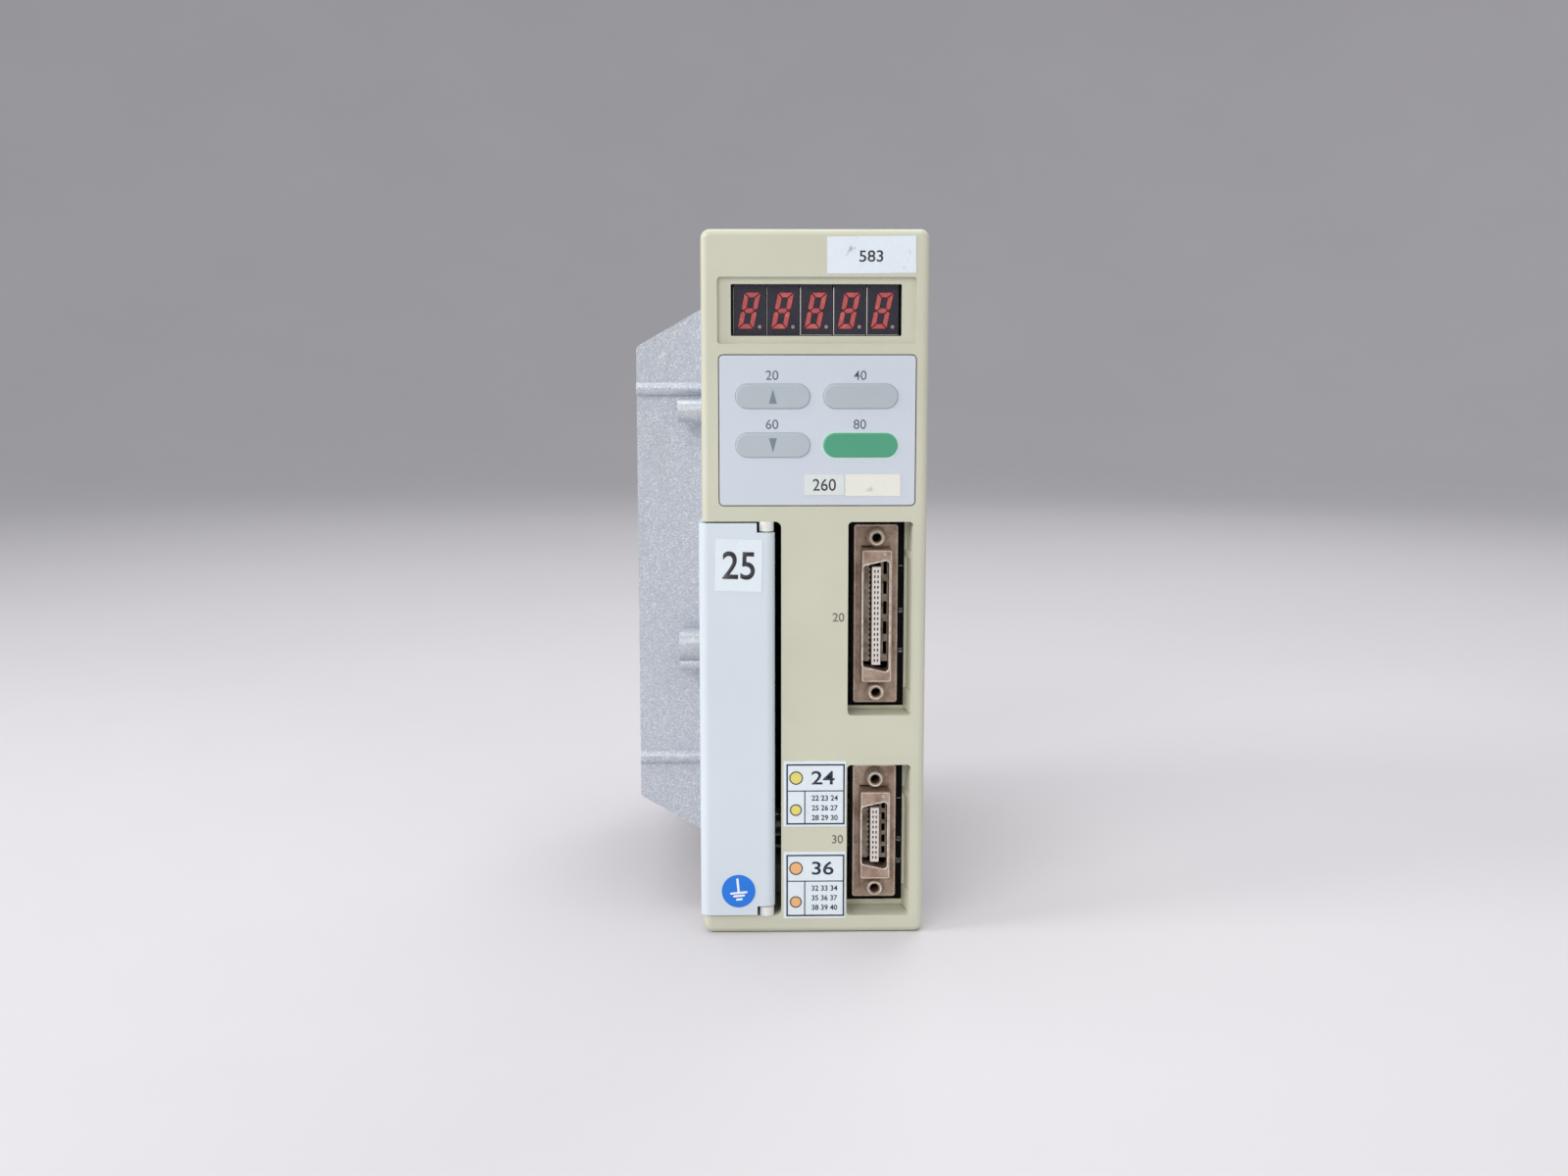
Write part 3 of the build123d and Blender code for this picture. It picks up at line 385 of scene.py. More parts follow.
# ---------------------------------------------------------------- edges of the CAD nodes
def cleaning_nodes():
    """Node group that joins the faces of an imported solid and drops its imported normals."""
    group = bpy.data.node_groups.new("join_faces", "GeometryNodeTree")
    group.interface.new_socket("Geometry", in_out="INPUT", socket_type="NodeSocketGeometry")
    group.interface.new_socket("Geometry", in_out="OUTPUT", socket_type="NodeSocketGeometry")
    start, end = group.nodes.new("NodeGroupInput"), group.nodes.new("NodeGroupOutput")
    merge = group.nodes.new("GeometryNodeMergeByDistance")
    merge.inputs["Distance"].default_value = 0.002 * MM
    drop = group.nodes.new("GeometryNodeRemoveAttribute")
    drop.inputs["Name"].default_value = "custom_normal"
    smooth = group.nodes.new("GeometryNodeSetShadeSmooth")
    edges = group.nodes.new("GeometryNodeSetShadeSmooth")
    edges.domain = "EDGE"
    chain = (start, merge, drop, smooth, edges, end)
    for first, second in zip(chain, chain[1:]):
        group.links.new(first.outputs["Geometry" if first is not start else 0],
                        second.inputs["Geometry" if second is not end else 0])
    return group


join_faces = cleaning_nodes()


def round_off(piece, width):
    """Rounds the sharp edges of a piece by width millimetres, all inside its own outline."""
    bevel = piece.modifiers.new("round_edges", "BEVEL")
    bevel.width = width * MM
    bevel.segments = 2
    bevel.limit_method = "ANGLE"
    return bevel


def soften(piece, width):
    """Rounds the edges of a CAD solid, whose faces are joined and cleaned first."""
    clean = piece.modifiers.new("join_faces", "NODES")
    clean.node_group = join_faces
    flat = piece.modifiers.new("flat_faces", "DECIMATE")
    flat.decimate_type = "DISSOLVE"
    flat.angle_limit = math.radians(0.3)
    bevel = round_off(piece, width)
    bevel.angle_limit = math.radians(35)
    bevel.use_clamp_overlap = True
    normals = piece.modifiers.new("face_normals", "WEIGHTED_NORMAL")
    normals.keep_sharp = False


edge_widths = {  # millimetres
    "front_cover": 0.22, "rear_housing": 0.3, "heatsink_chassis": 0.3, "terminal_door": 0.2,
    "hinge_lugs": 0.2, "keypad_panel": 0.1, "terminal_block": 0.12, "earth_bar": 0.15,
    "terminal_clamps": 0.1, "terminal_screws": 0.12, "earth_screws": 0.12, "housing_screws": 0.12,
    "board_screws": 0.1, "transformer": 0.3, "relay": 0.2, "power_module": 0.2, "rectifier_bridge": 0.2,
    "braking_resistor": 0.3, "ribbon_headers": 0.15, "display_header": 0.15, "key_switches": 0.1,
    "cn1_body": 0.1, "cn2_body": 0.1, "cn1_shell": 0.2, "cn2_shell": 0.2, "cn1_insert": 0.06,
    "cn2_insert": 0.06, "cn1_jack_sockets": 0.16, "cn2_jack_sockets": 0.16,
    "button_up": 0.35, "button_mode": 0.35, "button_down": 0.35, "button_set": 0.35,
}

for node_name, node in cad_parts.items():
    for slot in node.material_slots:
        slot.material = slot_finishes[slot.material.name.split(".")[0]]
    if node_name in edge_widths:
        soften(node, edge_widths[node_name])
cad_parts["keypad_label_left"].material_slots[0].material = label_grey
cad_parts["name_label"].material_slots[0].material = name_paper


# ---------------------------------------------------------------- pieces made of points and faces
PRINT, THIN_PRINT = 0.02, 0.015  # millimetres that printing stands out of its surface


def add_piece(name, points, faces, material, body):
    """Makes a piece of closed shells, all faces outwards, from points in millimetres; it rides a body."""
    mesh = bpy.data.meshes.new(name)
    mesh.from_pydata([tuple(c * MM for c in p) for p in points], [], faces)
    work = bmesh.new()
    work.from_mesh(mesh)
    bmesh.ops.recalc_face_normals(work, faces=work.faces)
    work.to_mesh(mesh)
    work.free()
    mesh.materials.append(material)
    piece = new_object(name, mesh)
    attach(piece, body)
    return piece


def add_slab(points, faces, front_outline, back_outline, front, back):
    """Adds a solid between two outlines of as many points, which lie at two depths."""
    start, count = len(points), len(front_outline)
    points += [(x, front, z) for x, z in front_outline] + [(x, back, z) for x, z in back_outline]
    faces.append(tuple(range(start, start + count)))
    faces.append(tuple(reversed(range(start + count, start + 2 * count))))
    for i in range(count):
        j = (i + 1) % count
        faces.append((start + j, start + i, start + count + i, start + count + j))


def ring_faces(first, second, steps):
    """Faces between two rings of points, given the number of each ring's first point."""
    return [(first + step, second + step, second + (step + 1) % steps, first + (step + 1) % steps)
            for step in range(steps)]


class Flat:
    """Gathers thin slabs that face the front, and makes one piece of them.
    Outlines are (x, z) points in millimetres, counter-clockwise as seen from the front."""

    def __init__(self, face, thickness=PRINT):
        self.back, self.front = face, face - thickness
        self.points, self.faces = [], []

    def slab(self, outline, face=None, front=None):
        back = self.back if face is None else face
        front = self.front if front is None else front
        add_slab(self.points, self.faces, outline, outline, front, back)

    def band(self, outer, inner):
        """Slab between two outlines that have the same number of points."""
        start, count = len(self.points), len(outer)
        for y in (self.front, self.back):
            self.points += [(x, y, z) for x, z in outer] + [(x, y, z) for x, z in inner]
        for i in range(count):
            j = (i + 1) % count
            a, b = start + i, start + j
            c, d = a + count, b + count
            deep = 2 * count
            self.faces += [(a, b, d, c), (a + deep, c + deep, d + deep, b + deep),
                           (b, a, a + deep, b + deep), (c, d, d + deep, c + deep)]

    def turned(self, x, z, degrees):
        """Turns all that is gathered so far about a point, counter-clockwise."""
        cos, sin = math.cos(math.radians(degrees)), math.sin(math.radians(degrees))
        self.points = [
            (x + (px - x) * cos - (pz - z) * sin, py, z + (px - x) * sin + (pz - z) * cos)
            for px, py, pz in self.points
        ]

    def make(self, name, material, body, slot=None):
        return add_piece(name, self.points, self.faces, material, body)


# ---------------------------------------------------------------- outlines
def box_of(x0, x1, z0, z1):
    return [(x0, z0), (x1, z0), (x1, z1), (x0, z1)]


def rounded(x0, x1, z0, z1, radius, steps=6):
    """Rounded rectangle."""
    points = []
    for cx, cz, start in ((x1 - radius, z0 + radius, -90), (x1 - radius, z1 - radius, 0),
                          (x0 + radius, z1 - radius, 90), (x0 + radius, z0 + radius, 180)):
        for step in range(steps + 1):
            angle = math.radians(start + 90 * step / steps)
            points.append((cx + radius * math.cos(angle), cz + radius * math.sin(angle)))
    return points


def rounded_ends(x, z, half_width, half_height):
    """Outline with round ends, about x, z."""
    return rounded(x - half_width, x + half_width, z - half_height, z + half_height, half_height, 14)


def circle(steps):
    """Cosine and sine of each step of a full turn."""
    angles = [2 * math.pi * step / steps for step in range(steps)]
    return [(math.cos(angle), math.sin(angle)) for angle in angles]


def disc(x, z, radius, steps=40):
    return [(x + radius * cos, z + radius * sin) for cos, sin in circle(steps)]


def inset(outline, distance):
    """A convex outline moved inwards, or outwards by a negative distance."""
    moved, lines, count = [], [], len(outline)
    for i in range(count):
        (x0, z0), (x1, z1) = outline[i], outline[(i + 1) % count]
        length = math.hypot(x1 - x0, z1 - z0)
        nx, nz = -(z1 - z0) / length, (x1 - x0) / length
        lines.append((x0 + nx * distance, z0 + nz * distance, x1 - x0, z1 - z0))
    for i in range(count):
        x0, z0, dx0, dz0 = lines[i - 1]
        x1, z1, dx1, dz1 = lines[i]
        t = ((x1 - x0) * dz1 - (z1 - z0) * dx1) / (dx0 * dz1 - dz0 * dx1)
        moved.append((x0 + dx0 * t, z0 + dz0 * t))
    return moved


def cavity_outline(x, z, half_length, grown):
    """Outline of a connector's D-shaped opening, with slanted ends, grown outwards."""
    left, right, slant = x - 3.4, x + 2.9, 1.45
    corners = [(left, z - half_length + slant), (right, z - half_length), (right, z + half_length),
               (left, z + half_length - slant)]
    radius, steps, points = 0.8 + grown, 6, []
    corners = [Vector(c) for c in inset(corners, -grown)]
    for index, corner in enumerate(corners):
        before = (corners[index - 1] - corner).normalized()
        after = (corners[(index + 1) % 4] - corner).normalized()
        half = before.angle(after) / 2
        centre = corner + (before + after).normalized() * radius / math.sin(half)
        start = corner + before * radius / math.tan(half) - centre
        turn = math.pi - 2 * half
        for step in range(steps + 1):
            angle = math.atan2(start.y, start.x) + turn * step / steps
            points.append((centre.x + radius * math.cos(angle), centre.y + radius * math.sin(angle)))
    return points


# ---------------------------------------------------------------- numerals and CAD boxes
def number(name, text, height, x, z, face, material, body=CASE, tilt=0.0, weight=0.0, width=1.0,
           thickness=PRINT):
    """Plain numerals printed on a surface that faces the front, centred on x, z (millimetres)."""
    solid_share = 0.9  # of the thickness, so that the print's back stays off the surface
    curve = bpy.data.curves.new(name, "FONT")
    curve.body = text
    curve.size = 1.0
    curve.offset = weight
    holder = new_object(name + "_outline", curve)
    bpy.context.view_layer.update()
    mesh = bpy.data.meshes.new_from_object(holder.evaluated_get(bpy.context.evaluated_depsgraph_get()))
    bpy.data.objects.remove(holder)
    xs, zs = [v.co.x for v in mesh.vertices], [v.co.y for v in mesh.vertices]
    scale = height / (max(zs) - min(zs))
    mid_x, mid_z = (min(xs) + max(xs)) / 2, (min(zs) + max(zs)) / 2
    cos, sin = math.cos(math.radians(tilt)), math.sin(math.radians(tilt))
    for v in mesh.vertices:
        px, pz = (v.co.x - mid_x) * scale * width, (v.co.y - mid_z) * scale
        v.co = Vector((x + px * cos - pz * sin, face - thickness, z + px * sin + pz * cos)) * MM
    mesh.materials.clear()
    mesh.materials.append(material)
    piece = new_object(name, mesh)
    thick = piece.modifiers.new("thickness", "SOLIDIFY")
    thick.thickness = thickness * MM * solid_share
    thick.offset = -1.0
    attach(piece, body)
    return piece


def box_mm(node_name):
    """(x0, x1), (y0, y1), (z0, z1) of a CAD node in millimetres."""
    low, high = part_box(node_name)
    return [(low[axis] / MM, high[axis] / MM) for axis in range(3)]


# ---------------------------------------------------------------- display
DIGIT_WIDTH, DIGIT_HEIGHT = 3.95, 8.55  # millimetres, like every length below
STROKE, CORNER, SLANT = 1.34, 0.45, math.tan(math.radians(11.4))
SEGMENT_EDGE = 0.14  # dark line round each segment


def digit_segments():
    """Outlines of the seven segments about the digit's centre, upright."""
    w, h, t, m, c = DIGIT_WIDTH / 2, DIGIT_HEIGHT / 2, STROKE, STROKE / 2, CORNER
    top = [(-w + c, h), (-w + c / 2, h - c / 2), (-w + t, h - t),
           (w - t, h - t), (w - c / 2, h - c / 2), (w - c, h)]
    side = [(-w, h - c), (-w, m * 0.7), (-w + m, 0), (-w + t, m), (-w + t, h - t), (-w + c / 2, h - c / 2)]
    middle = [(-w + m, 0), (-w + t, -m), (w - t, -m), (w - m, 0), (w - t, m), (-w + t, m)]
    other_side = [(-x, z) for x, z in reversed(side)]
    lower = [[(x, -z) for x, z in reversed(outline)] for outline in (top, side, other_side)]
    return [top, side, other_side, middle] + lower


def display():
    """Segments, decimal points and the seams between the digits' modules."""
    off_centre = 0.1  # the figure sits this far left of and below its module's centre
    point_x, point_z, point_radius, ring_radius, point_steps = 2.45, -3.72, 0.42, 0.56, 24
    seam_left, narrow_seam, wide_seam, seam_height = 0.02, 0.09, 0.24, 0.1
    seam_bottom, seam_top = 5.62, 1.1  # below the figure's centre, and below the module's top
    narrow_modules = 2  # these have only a thin seam

    face = box_mm("led_digit_1")[1][0]
    fill, edge = Flat(face, 0.05), Flat(face, 0.03)
    dots, rings, seams = Flat(face, 0.06), Flat(face, 0.03), Flat(face, 0.05)
    for digit in range(5):
        (x0, x1), _, (z0, z1) = box_mm(f"led_digit_{digit + 1}")
        cx, cz = (x0 + x1) / 2 - off_centre, (z0 + z1) / 2 - off_centre
        for outline in digit_segments():
            slanted = [(cx + x + z * SLANT, cz + z) for x, z in outline]
            edge.slab(slanted)
            fill.slab(inset(slanted, SEGMENT_EDGE))
        dots.slab(disc(cx + point_x, cz + point_z, point_radius, point_steps))
        rings.slab(disc(cx + point_x, cz + point_z, ring_radius, point_steps))
        bottom, top = cz - seam_bottom, z1 - seam_top
        if digit < narrow_modules:
            seams.slab(box_of(x0 + seam_left, x0 + narrow_seam, bottom, top))
        else:
            seams.slab(box_of(x0 + seam_left, x0 + wide_seam, bottom, top))
            seams.slab(box_of(x0 + wide_seam, x1 - 0.1, bottom, bottom + seam_height))
    for name, flat, material in (
        ("display_segment_edges", edge, segment_edge), ("display_segments", fill, segment_red),
        ("display_point_rings", rings, segment_edge), ("display_points", dots, dot_grey),
        ("display_seams", seams, seam_resin),
    ):
        flat.make(name, material, CASE, "led_body")


# ---------------------------------------------------------------- keypad
def keypad():
    """Numbers above the keys, rims in the gaps round them, arrows on two and a ring round the green one."""
    lip = 0.8  # the key's hidden lip, which its box takes in
    text_height, text_left, text_rise = 2.2, 0.2, 2.1
    rim_depth, rim_thickness, rim_outer, rim_inner = 0.35, 0.32, 0.149, 0.02
    ring_outer, ring_inner = 0.42, 0.16
    arrow_half_width, arrow_half_height = 0.94, 1.68

    panel_face = box_mm("keypad_panel")[1][0]
    for index, key in enumerate(("up", "mode", "down", "set")):
        (x0, x1), (key_face, _), (z0, z1) = box_mm(f"button_{key}")
        x, z = (x0 + x1) / 2, (z0 + z1) / 2
        half_width, half_height = (x1 - x0) / 2 - lip, (z1 - z0) / 2 - lip

        def band_round(flat, outer, inner):
            flat.band(rounded_ends(x, z, half_width + outer, half_height + outer),
                      rounded_ends(x, z, half_width + inner, half_height + inner))
            return flat

        number(f"key_number_{index + 1}", str(20 * (index + 1)), text_height, x - text_left,
               z + half_height + text_rise, panel_face, soft_ink, weight=0.004)
        rim = band_round(Flat(panel_face + rim_depth, rim_thickness), rim_outer, rim_inner)
        rim.make(f"key_rim_{key}", mint_ink if key == "set" else key_rim, CASE, "keypad_plastic")
        if key in ("up", "down"):
            side = 1 if key == "up" else -1
            tip = arrow_half_height * side
            triangle = [(x - arrow_half_width, z - tip), (x + arrow_half_width, z - tip), (x, z + tip)]
            arrow = Flat(key_face, THIN_PRINT)
            arrow.slab(triangle[::side])
            arrow.make(f"key_arrow_{key}", arrow_ink, f"key_{key}", "key_grey")
        if key == "set":
            ring = band_round(Flat(panel_face), ring_outer, ring_inner)
            ring.make("set_key_ring", mint_ink, CASE, "keypad_plastic")


# ---------------------------------------------------------------- stickers
SHEET_SHARE = 0.8  # of a door sticker's thickness is its sheet; the rest is room for the print


def thin_copy(name, node_name, share, material, body):
    """A sticker that keeps its node's outline, but only that share of its thickness."""
    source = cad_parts[node_name].data
    back = max(v.co.y for v in source.vertices)
    mesh = source.copy()
    mesh.name = name
    for v in mesh.vertices:
        v.co.y = back + (v.co.y - back) * share
    mesh.materials.clear()
    mesh.materials.append(material)
    piece = new_object(name, mesh)
    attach(piece, body)
    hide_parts(node_name)
    return piece


def panel_stickers():
    """Numbers on the name label and on the keypad's left sticker, and a smudge on the right one."""
    (x0, _), (face, _), (_, z1) = box_mm("name_label")
    number("name_label_number", "583", 2.6, x0 + 10.2, z1 - 4.6, face, dark_ink, tilt=0.6, weight=0.01,
           width=1.1)
    (x0, x1), (face, _), (z0, z1) = box_mm("keypad_label_left")
    number("keypad_label_number", "260", 2.8, (x0 + x1) / 2, (z0 + z1) / 2, face, dark_ink, width=0.95,
           weight=0.004)
    (x0, _), (face, _), (z0, _) = box_mm("keypad_label_right")
    smudge = Flat(face, THIN_PRINT)
    for dx, dz, radius in ((5.6, 1.5, 0.42), (6.1, 1.9, 0.34), (6.2, 1.35, 0.3), (5.1, 1.2, 0.22)):
        smudge.slab(disc(x0 + dx, z0 + dz, radius, 14))
    smudge.make("keypad_label_smudge", smudge_ink, CASE, "label_cream")


def door_number():
    thin_copy("door_label_sheet", "door_number_label", SHEET_SHARE, slot_finishes["label_white"], "door")
    (x0, x1), (face, back), (z0, z1) = box_mm("door_number_label")
    paper = back - (back - face) * SHEET_SHARE
    number("door_label_number", "25", 6.65, (x0 + x1) / 2, (z0 + z1) / 2, paper, dark_ink, "door",
           tilt=-1.5, weight=0.012, width=0.9, thickness=paper - face)


def earth_sign():
    """Blue disc with the earth sign: an upright stem over three bars, slightly turned."""
    thin_copy("earth_disc", "earth_label", SHEET_SHARE, slot_finishes["label_blue"], "door")
    half_stroke, stem_half_width, stem_top, stem_bottom, corner = 0.25, 0.27, 3.2, 0.4, 0.2
    bars = ((2.1, -0.42), (1.42, -1.17), (0.82, -2.05))  # half width, height above the disc's centre
    bar_sunk = 0.002  # keeps the bars' fronts off the stem's

    (x0, x1), (face, back), (z0, z1) = box_mm("earth_label")
    paper = back - (back - face) * SHEET_SHARE
    x, z = (x0 + x1) / 2, (z0 + z1) / 2
    sign = Flat(paper, paper - face)
    sign.slab(rounded(x - stem_half_width, x + stem_half_width, z - stem_bottom, z + stem_top, corner, 4))
    for half_width, bar_z in bars:
        sign.slab(rounded(x - half_width, x + half_width, z + bar_z - half_stroke,
                          z + bar_z + half_stroke, corner, 4), front=face + bar_sunk)
    sign.turned(x, z, 5.5)
    sign.make("earth_sign", white_ink, "door", "label_white")


def bordered_sticker(place, fill, heading, lines):
    """Border, dividing rules, two discs in rings, a large number and lines of small ones."""
    border, half_rule, overlap = 0.38, 0.13, 0.3
    ring_width = 0.28
    (x0, x1), (face, _), (z0, z1) = box_mm(f"front_label_{place}")
    left, right, low, high = x0 + 0.65, x1 - 0.3, z0 + 0.5, z1 - 0.7
    row, column = high - 6.6, left + 4.45

    rules, discs = Flat(face), Flat(face)
    rules.band(box_of(left, right, low, high),
               box_of(left + border, right - border, low + border, high - border))
    rules.slab(box_of(left + overlap, right - overlap, row - half_rule, row + half_rule))
    rules.slab(box_of(column - half_rule, column + half_rule, low + overlap, row - 0.05))
    for mark_x, mark_z, radius in ((left + 2.35, high - 3.4, 1.65), (left + 2.3, low + 3.6, 1.45)):
        inner = disc(mark_x, mark_z, radius - ring_width)
        rules.band(disc(mark_x, mark_z, radius), inner)
        discs.slab(inner)
    rules.make(f"label_rules_{place}", rule_ink, CASE, "label_white")
    discs.make(f"label_marks_{place}", fill, CASE, "label_white")

    number(f"label_number_{place}", heading, 3.3, left + 8.8, high - 3.35, face, rule_ink, width=1.25,
           weight=0.012)
    first_line, line_pitch = 1.75, 2.42
    for line, text in enumerate(lines):
        number(f"label_line_{place}_{line + 1}", text, 1.35, (column + right) / 2,
               row - first_line - line_pitch * line, face, rule_ink, width=0.98, weight=0.02)


# ---------------------------------------------------------------- cable connectors
CONTACT_PITCH = 1.27
INSERT_GAP, FRAME_MARGIN = 1.75, 2.45  # from the insert's end to the opening's, and on to the frame's
SKIN = 0.22  # rounding of the shell's outer edges


def connector_shields(name, x, shell_front):
    """Sheet-metal shields that stand beside the insert, the left one toothed, the right one with windows."""
    (ix0, ix1), _, (iz0, iz1) = box_mm(f"{name}_insert")
    depth = shell_front + 2.6
    low, high = iz0 + 0.6, iz1 + 1.2
    left_edge, tooth_root, tooth_tip = x - 3.25, ix0 - 0.62, ix0 - 0.28
    strip_left, strip_right, right_edge = ix1 + 0.12, ix1 + 0.75, x + 2.75
    windows, bridge_share = 5, 0.36

    shields = Flat(depth + 0.5, 0.5)
    shields.slab(box_of(left_edge, tooth_root, low, high))
    for tooth in range(int((high - low) / CONTACT_PITCH)):
        tooth_low = low + 0.3 + tooth * CONTACT_PITCH
        shields.slab([(tooth_root, tooth_low), (tooth_tip, tooth_low + 0.25),
                      (tooth_tip, tooth_low + 0.6), (tooth_root, tooth_low + 0.85)], front=depth + 0.02)
    shields.slab(box_of(strip_left, strip_right, low, high))
    window_step = (high - low) / windows
    for window in range(windows):
        window_low = low + window * window_step
        shields.slab(box_of(strip_right, right_edge, window_low, window_low + window_step * bridge_share),
                     front=depth + 0.03)
    shields.slab(box_of(right_edge - 0.22, right_edge + 0.02, low, high), front=depth + 0.01)
    shields.make(f"{name}_shields", shield_metal, CASE, "nickel_plate")


def connector_frame(name, x, z, frame_top):
    """Pressed boss, bright lip, painted highlights along the frame's and the plate's edges, and black strips
    of painted shade for the slots that part the frame from the plate.
    """
    (sx0, sx1), (shell_front, plate_rear), (sz0, sz1) = box_mm(f"{name}_shell")
    frame_bottom = 2 * z - frame_top
    boss_x, boss_z, boss_radius, tip_radius = x + 1.9, frame_top - 1.15, 0.42, 0.24
    boss = Flat(shell_front, 0.18)
    boss.slab(disc(boss_x, boss_z, boss_radius, 20))
    boss.slab(disc(boss_x, boss_z, tip_radius, 20), face=shell_front - 0.1, front=shell_front - 0.26)
    round_off(boss.make(f"{name}_boss", slot_finishes["screw_steel"], CASE, "nickel_plate"), 0.07)

    half_cavity = frame_top - FRAME_MARGIN - z
    lip_outside, lip_inside = 0.30, -0.03
    # The lip is real, but it is drawn in the lighter bright plate, which puts a painted highlight round the
    # opening.
    lip = Flat(shell_front + 0.14, 0.17)
    lip.band(cavity_outline(x, z, half_cavity, lip_outside), cavity_outline(x, z, half_cavity, lip_inside))
    round_off(lip.make(f"{name}_opening_lip", bright_plate, CASE, "nickel_plate"), 0.10)

    plate_thickness = 1.0
    plate_front = plate_rear - plate_thickness
    # Painted highlights: thin bands of bright plate along the frame's border and along the plate's outer
    # edge.
    wear_and_highlight = Flat(shell_front, THIN_PRINT)
    wear_and_highlight.band(rounded(x - 3.42, x + 3.42, frame_bottom + 0.28, frame_top - 0.28, 0.3),
                rounded(x - 3.25, x + 3.25, frame_bottom + 0.45, frame_top - 0.45, 0.2))
    wear_and_highlight.back, wear_and_highlight.front = plate_front, plate_front - THIN_PRINT
    x0, x1, z0, z1 = sx0 + SKIN, sx1 - SKIN, sz0 + SKIN, sz1 - SKIN
    highlight_inset = 0.16
    wear_and_highlight.band(rounded(x0, x1, z0, z1, 0.6),
                rounded(x0 + highlight_inset, x1 - highlight_inset, z0 + highlight_inset, z1 - highlight_inset, 0.44))
    wear_and_highlight.make(f"{name}_painted_edge_highlights", bright_plate, CASE, "nickel_plate")

    # Painted shade: black strips where the slots part the frame from the plate, standing for their dark
    # insides.
    cuts = Flat(plate_front, 0.03)
    for left, right, bottom, top in (
        (-3.6, -0.4, frame_top + 0.15, frame_top + 0.6),
        (1.3, 3.4, frame_top + 0.15, frame_top + 0.35),
        (-3.6, 1.3, frame_bottom - 0.45, frame_bottom - 0.15),
    ):
        cuts.slab(box_of(x + left, x + right, bottom, top))
    cuts.make(f"{name}_plate_slots", slot_shade_black, CASE, "nickel_plate")


def connector_details(name, marks):
    (sx0, sx1), (shell_front, _), (sz0, sz1) = box_mm(f"{name}_shell")
    _, _, (iz0, iz1) = box_mm(f"{name}_insert")
    x, z = (sx0 + sx1) / 2, (sz0 + sz1) / 2
    connector_shields(name, x, shell_front)
    connector_frame(name, x, z, z + (iz1 - iz0) / 2 + INSERT_GAP + FRAME_MARGIN)
    (_, bx1), (flange_face, _), _ = box_mm(f"{name}_body")
    for mark, (text, offset) in enumerate(marks):
        number(f"{name}_mark_{mark + 1}", text, 0.95, (sx1 + bx1) / 2, z + offset, flange_face, faded_ink,
               tilt=-90)


def slot_relief(name, x, cover_face, low, high, flange_low):
    """Tapered right wall of a connector slot, with a groove beside the connector and a pocket above."""
    mouth, floor = cover_face + 0.4, cover_face + 8.2
    groove, inner, wall, skin = x - 0.72, x - 1.35, x - 0.1, x + 0.02
    foot = low + 0.4
    solids = [
        ([(x - 0.2, foot), (skin, foot), (skin, high - 0.8), (x - 0.2, high - 1.2)],
         [(groove, foot), (skin, foot), (skin, high - 0.8), (groove, high - 7.4)], mouth, floor),
    ]
    for rib_low, rib_high in ((high - 9.0, high - 7.3), (foot, low + 5.4)):
        solids.append((box_of(x - 0.25, wall, rib_low, rib_high), box_of(inner, wall, rib_low, rib_high),
                       mouth + 0.3, floor))
    strip = box_of(inner, wall, low + 0.2, high - 0.3)
    shelf = box_of(x - 15.2, wall, low + 0.05, flange_low - 0.05)
    solids += [(strip, strip, floor - 0.1, floor + 0.3), (shelf, shelf, floor, floor + 0.3)]
    points, faces = [], []
    for solid in solids:
        add_slab(points, faces, *solid)
    round_off(add_piece(name, points, faces, slot_finishes["cover_plastic"], CASE), 0.12)


def jack_rim(name, socket_node, x, z):
    """Turned lip round the mouth of a jack socket: a countersink, a flat ring and a shoulder."""
    front, steps = box_mm(socket_node)[1][0], 48
    profile = [(1.12, 0.75), (1.12, 0.25), (1.36, 0.0), (1.42, -0.16), (1.72, -0.16), (1.86, 0.0),
               (1.92, 0.3), (2.06, 0.42), (2.06, 0.9), (2.2, 1.2), (2.2, 1.7)]  # radius, depth
    points, faces = [], []
    for ring, (radius, depth) in enumerate(profile):
        points += [(x + radius * cos, front + depth, z + radius * sin) for cos, sin in circle(steps)]
        faces += ring_faces(ring * steps, (ring + 1) % len(profile) * steps, steps)
    add_piece(name, points, faces, bright_plate, CASE)


def connectors():
    slot_right = 31.8
    slots = {  # lower and upper end of the slot in the cover, and the numbers on the flange
        "cn1": (53.8, 100.3, (("1", 11.6), ("10", 0.7), ("18", -9.1))),
        "cn2": (4.3, 41.7, (("1", 8.0), ("10", -2.4), ("20", -7.8))),
    }
    cover_face = box_mm("front_cover")[1][0]
    for name, (low, high, marks) in slots.items():
        connector_details(name, marks)
        flange_low = box_mm(f"{name}_body")[2][0]
        slot_relief(f"{name}_slot_wall", slot_right, cover_face, low, high, flange_low)
        (x0, x1), _, (z0, z1) = box_mm(f"{name}_jack_sockets")
        foot = (x1 - x0) / 2
        for end, jack_z in (("low", z0 + foot), ("high", z1 - foot)):
            jack_rim(f"{name}_jack_rim_{end}", f"{name}_jack_sockets", (x0 + x1) / 2, jack_z)
    for index, text, z in ((1, "20", 77.6), (2, "30", 23.4)):
        number(f"connector_number_{index}", text, 2.1, 14.2, z, cover_face, legend_ink, weight=0.01)


# ---------------------------------------------------------------- behind the door
def terminal_numbers():
    count, end_margin, beside, behind = 9, 3.0, 2.3, 0.8
    (_, x1), (face, _), (z0, z1) = box_mm("terminal_clamps")
    pitch = (z1 - z0 - 2 * end_margin) / (count - 1)
    for index in range(count):
        number(f"terminal_number_{index + 1}", str(count - index), 2.0, x1 + beside,
               z0 + end_margin + pitch * index, face + behind, white_ink)


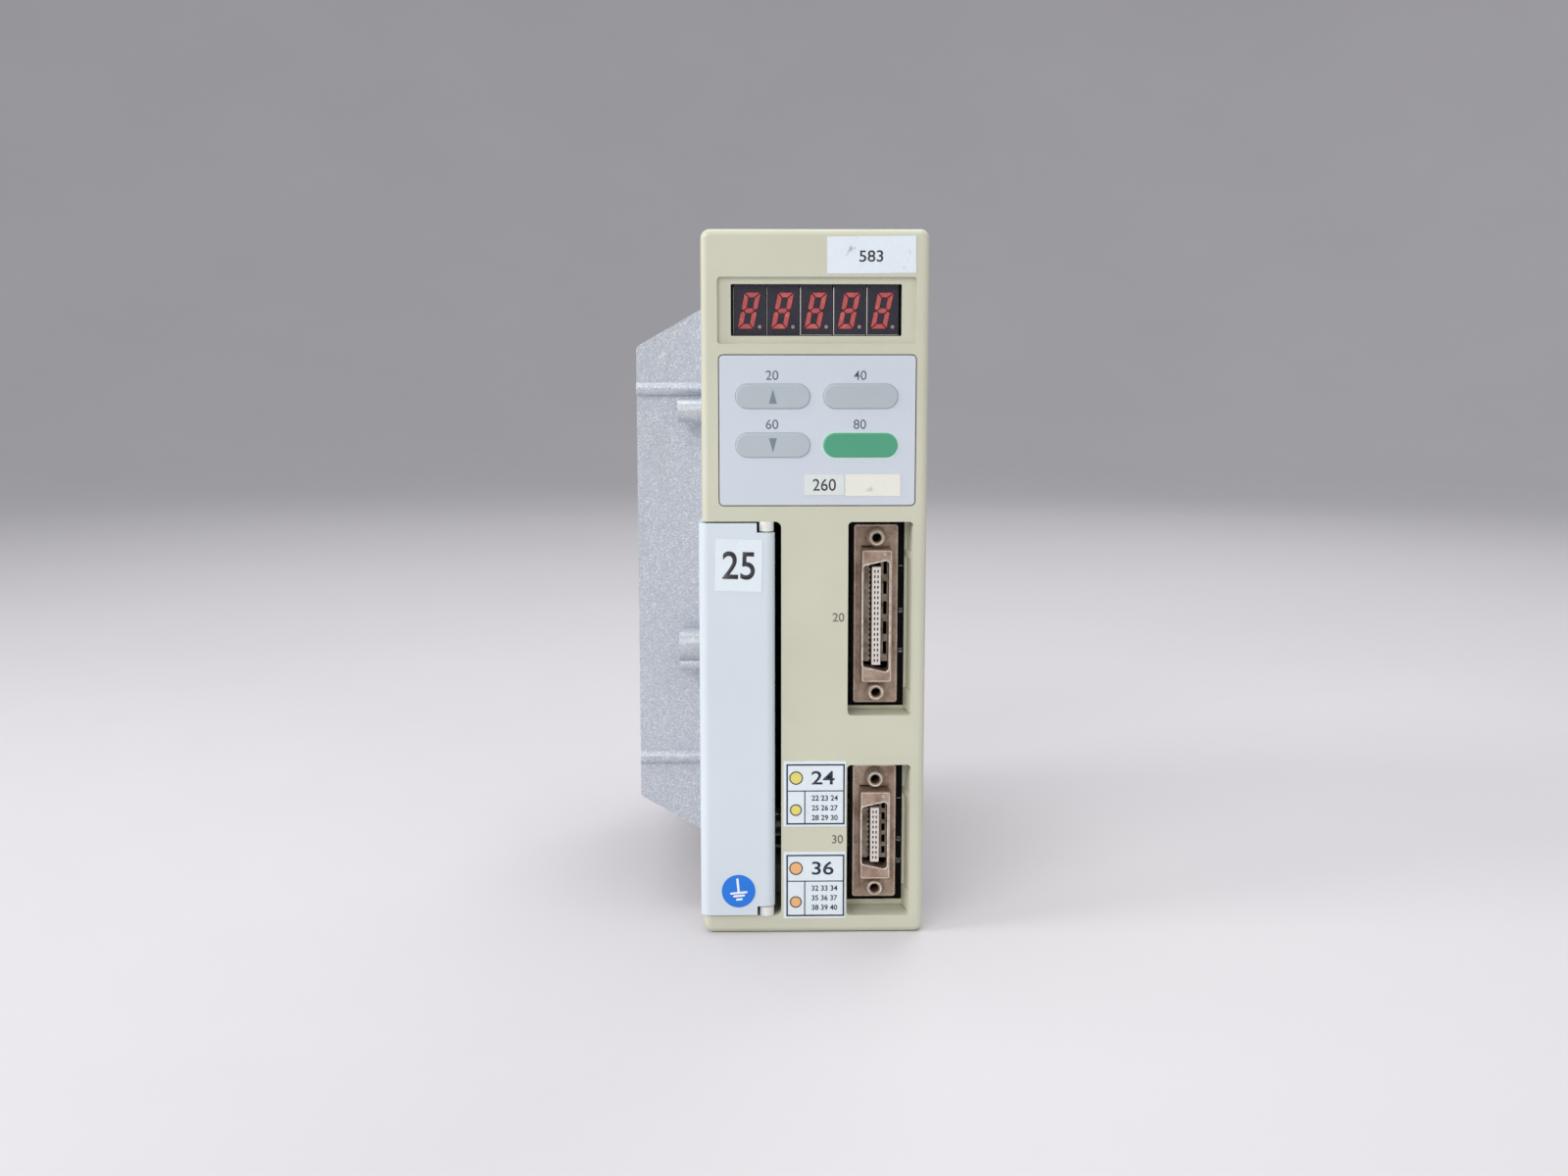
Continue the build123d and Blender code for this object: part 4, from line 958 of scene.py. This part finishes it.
display()
keypad()
panel_stickers()
door_number()
earth_sign()
bordered_sticker("upper", yellow_ink, "24", ("22 23 24", "25 26 27", "28 29 30"))
bordered_sticker("lower", orange_ink, "36", ("32 33 34", "35 36 37", "38 39 40"))
connectors()
terminal_numbers()


# ---------------------------------------------------------------- studio
def studio():
    """Bowl-shaped floor: a flat part, a bend and an upright wall."""
    flat, curve, wall = 1.4, 1.6, 1.65  # metres: the flat part, the bend's radius and the wall's top
    steps, bend_steps = 96, 16
    profile = [(0.0005, 0.0), (0.3, 0.0), (0.7, 0.0), (flat, 0.0)]  # radius, height
    for step in range(1, bend_steps + 1):
        angle = math.radians(90 * step / bend_steps)
        profile.append((flat + curve * math.sin(angle), curve - curve * math.cos(angle)))
    profile.append((flat + curve, wall))
    points, faces = [], []
    for ring, (radius, z) in enumerate(profile):
        points += [(radius * cos, radius * sin, z) for cos, sin in circle(steps)]
        if ring:
            faces += ring_faces((ring - 1) * steps, ring * steps, steps)
    mesh = bpy.data.meshes.new("studio_floor")
    mesh.from_pydata(points, [], faces)
    for polygon in mesh.polygons:
        polygon.use_smooth = True
    f = Finish("floor_paint")
    tone = f.noise(0.25, 2.0)
    f.finish(f.blend(tone, linear(211, 208, 212), linear(218, 215, 219)),
             f.spread(f.noise(0.02), 0.3, 0.7, 0.55, 0.65), specular=0.25)
    mesh.materials.append(f.material)
    floor = new_object("studio_floor", mesh)


def soft_light(name, place, width, height, power, colour=(1, 1, 1)):
    """Area light, in metres and watts, that shines at the part's middle."""
    target = Vector((0.0, 0.0, 0.08))
    data = bpy.data.lights.new(name, "AREA")
    data.shape = "RECTANGLE"
    data.size, data.size_y = width, height
    data.energy = power
    data.spread = math.radians(110)
    data.color = colour
    light = new_object(name, data)
    light.visible_camera = False
    light.location = place
    light.rotation_euler = (target - Vector(place)).to_track_quat("-Z", "Y").to_euler()


def lights():
    soft_light("key_light", (-0.55, -1.10, 0.78), 0.8, 0.8, 2.85, (1.0, 0.99, 0.975))
    soft_light("fill_light", (0.95, -0.95, 0.40), 0.8, 0.8, 0.9, (0.96, 0.98, 1.0))
    soft_light("side_light", (-1.15, -0.30, 0.55), 0.5, 1.0, 3.0, (1.0, 0.99, 0.96))
    soft_light("top_light", (0.0, 0.10, 1.35), 1.0, 0.7, 2.5)
    soft_light("back_light", (0.5, 1.1, 1.0), 0.8, 0.5, 1.4)
    world = bpy.data.worlds.new("studio_air")
    world.use_nodes = True
    air = world.node_tree.nodes["Background"].inputs
    air["Color"].default_value = (0.88, 0.90, 0.92, 1)
    air["Strength"].default_value = 0.57
    scene.world = world


def camera():
    place, direction = (-0.0062, -0.4573, 0.1373), Vector((0.01902, 0.99085, -0.13364))
    data = bpy.data.cameras.new("camera")
    data.sensor_width = 36.0
    data.lens = 38.25
    data.clip_start, data.clip_end = 0.01, 20.0
    eye = new_object("camera", data)
    eye.location = place
    eye.rotation_euler = direction.to_track_quat("-Z", "Y").to_euler()
    scene.camera = eye


studio()
lights()
camera()
scene.view_settings.view_transform = "Standard"
scene.view_settings.look = "None"
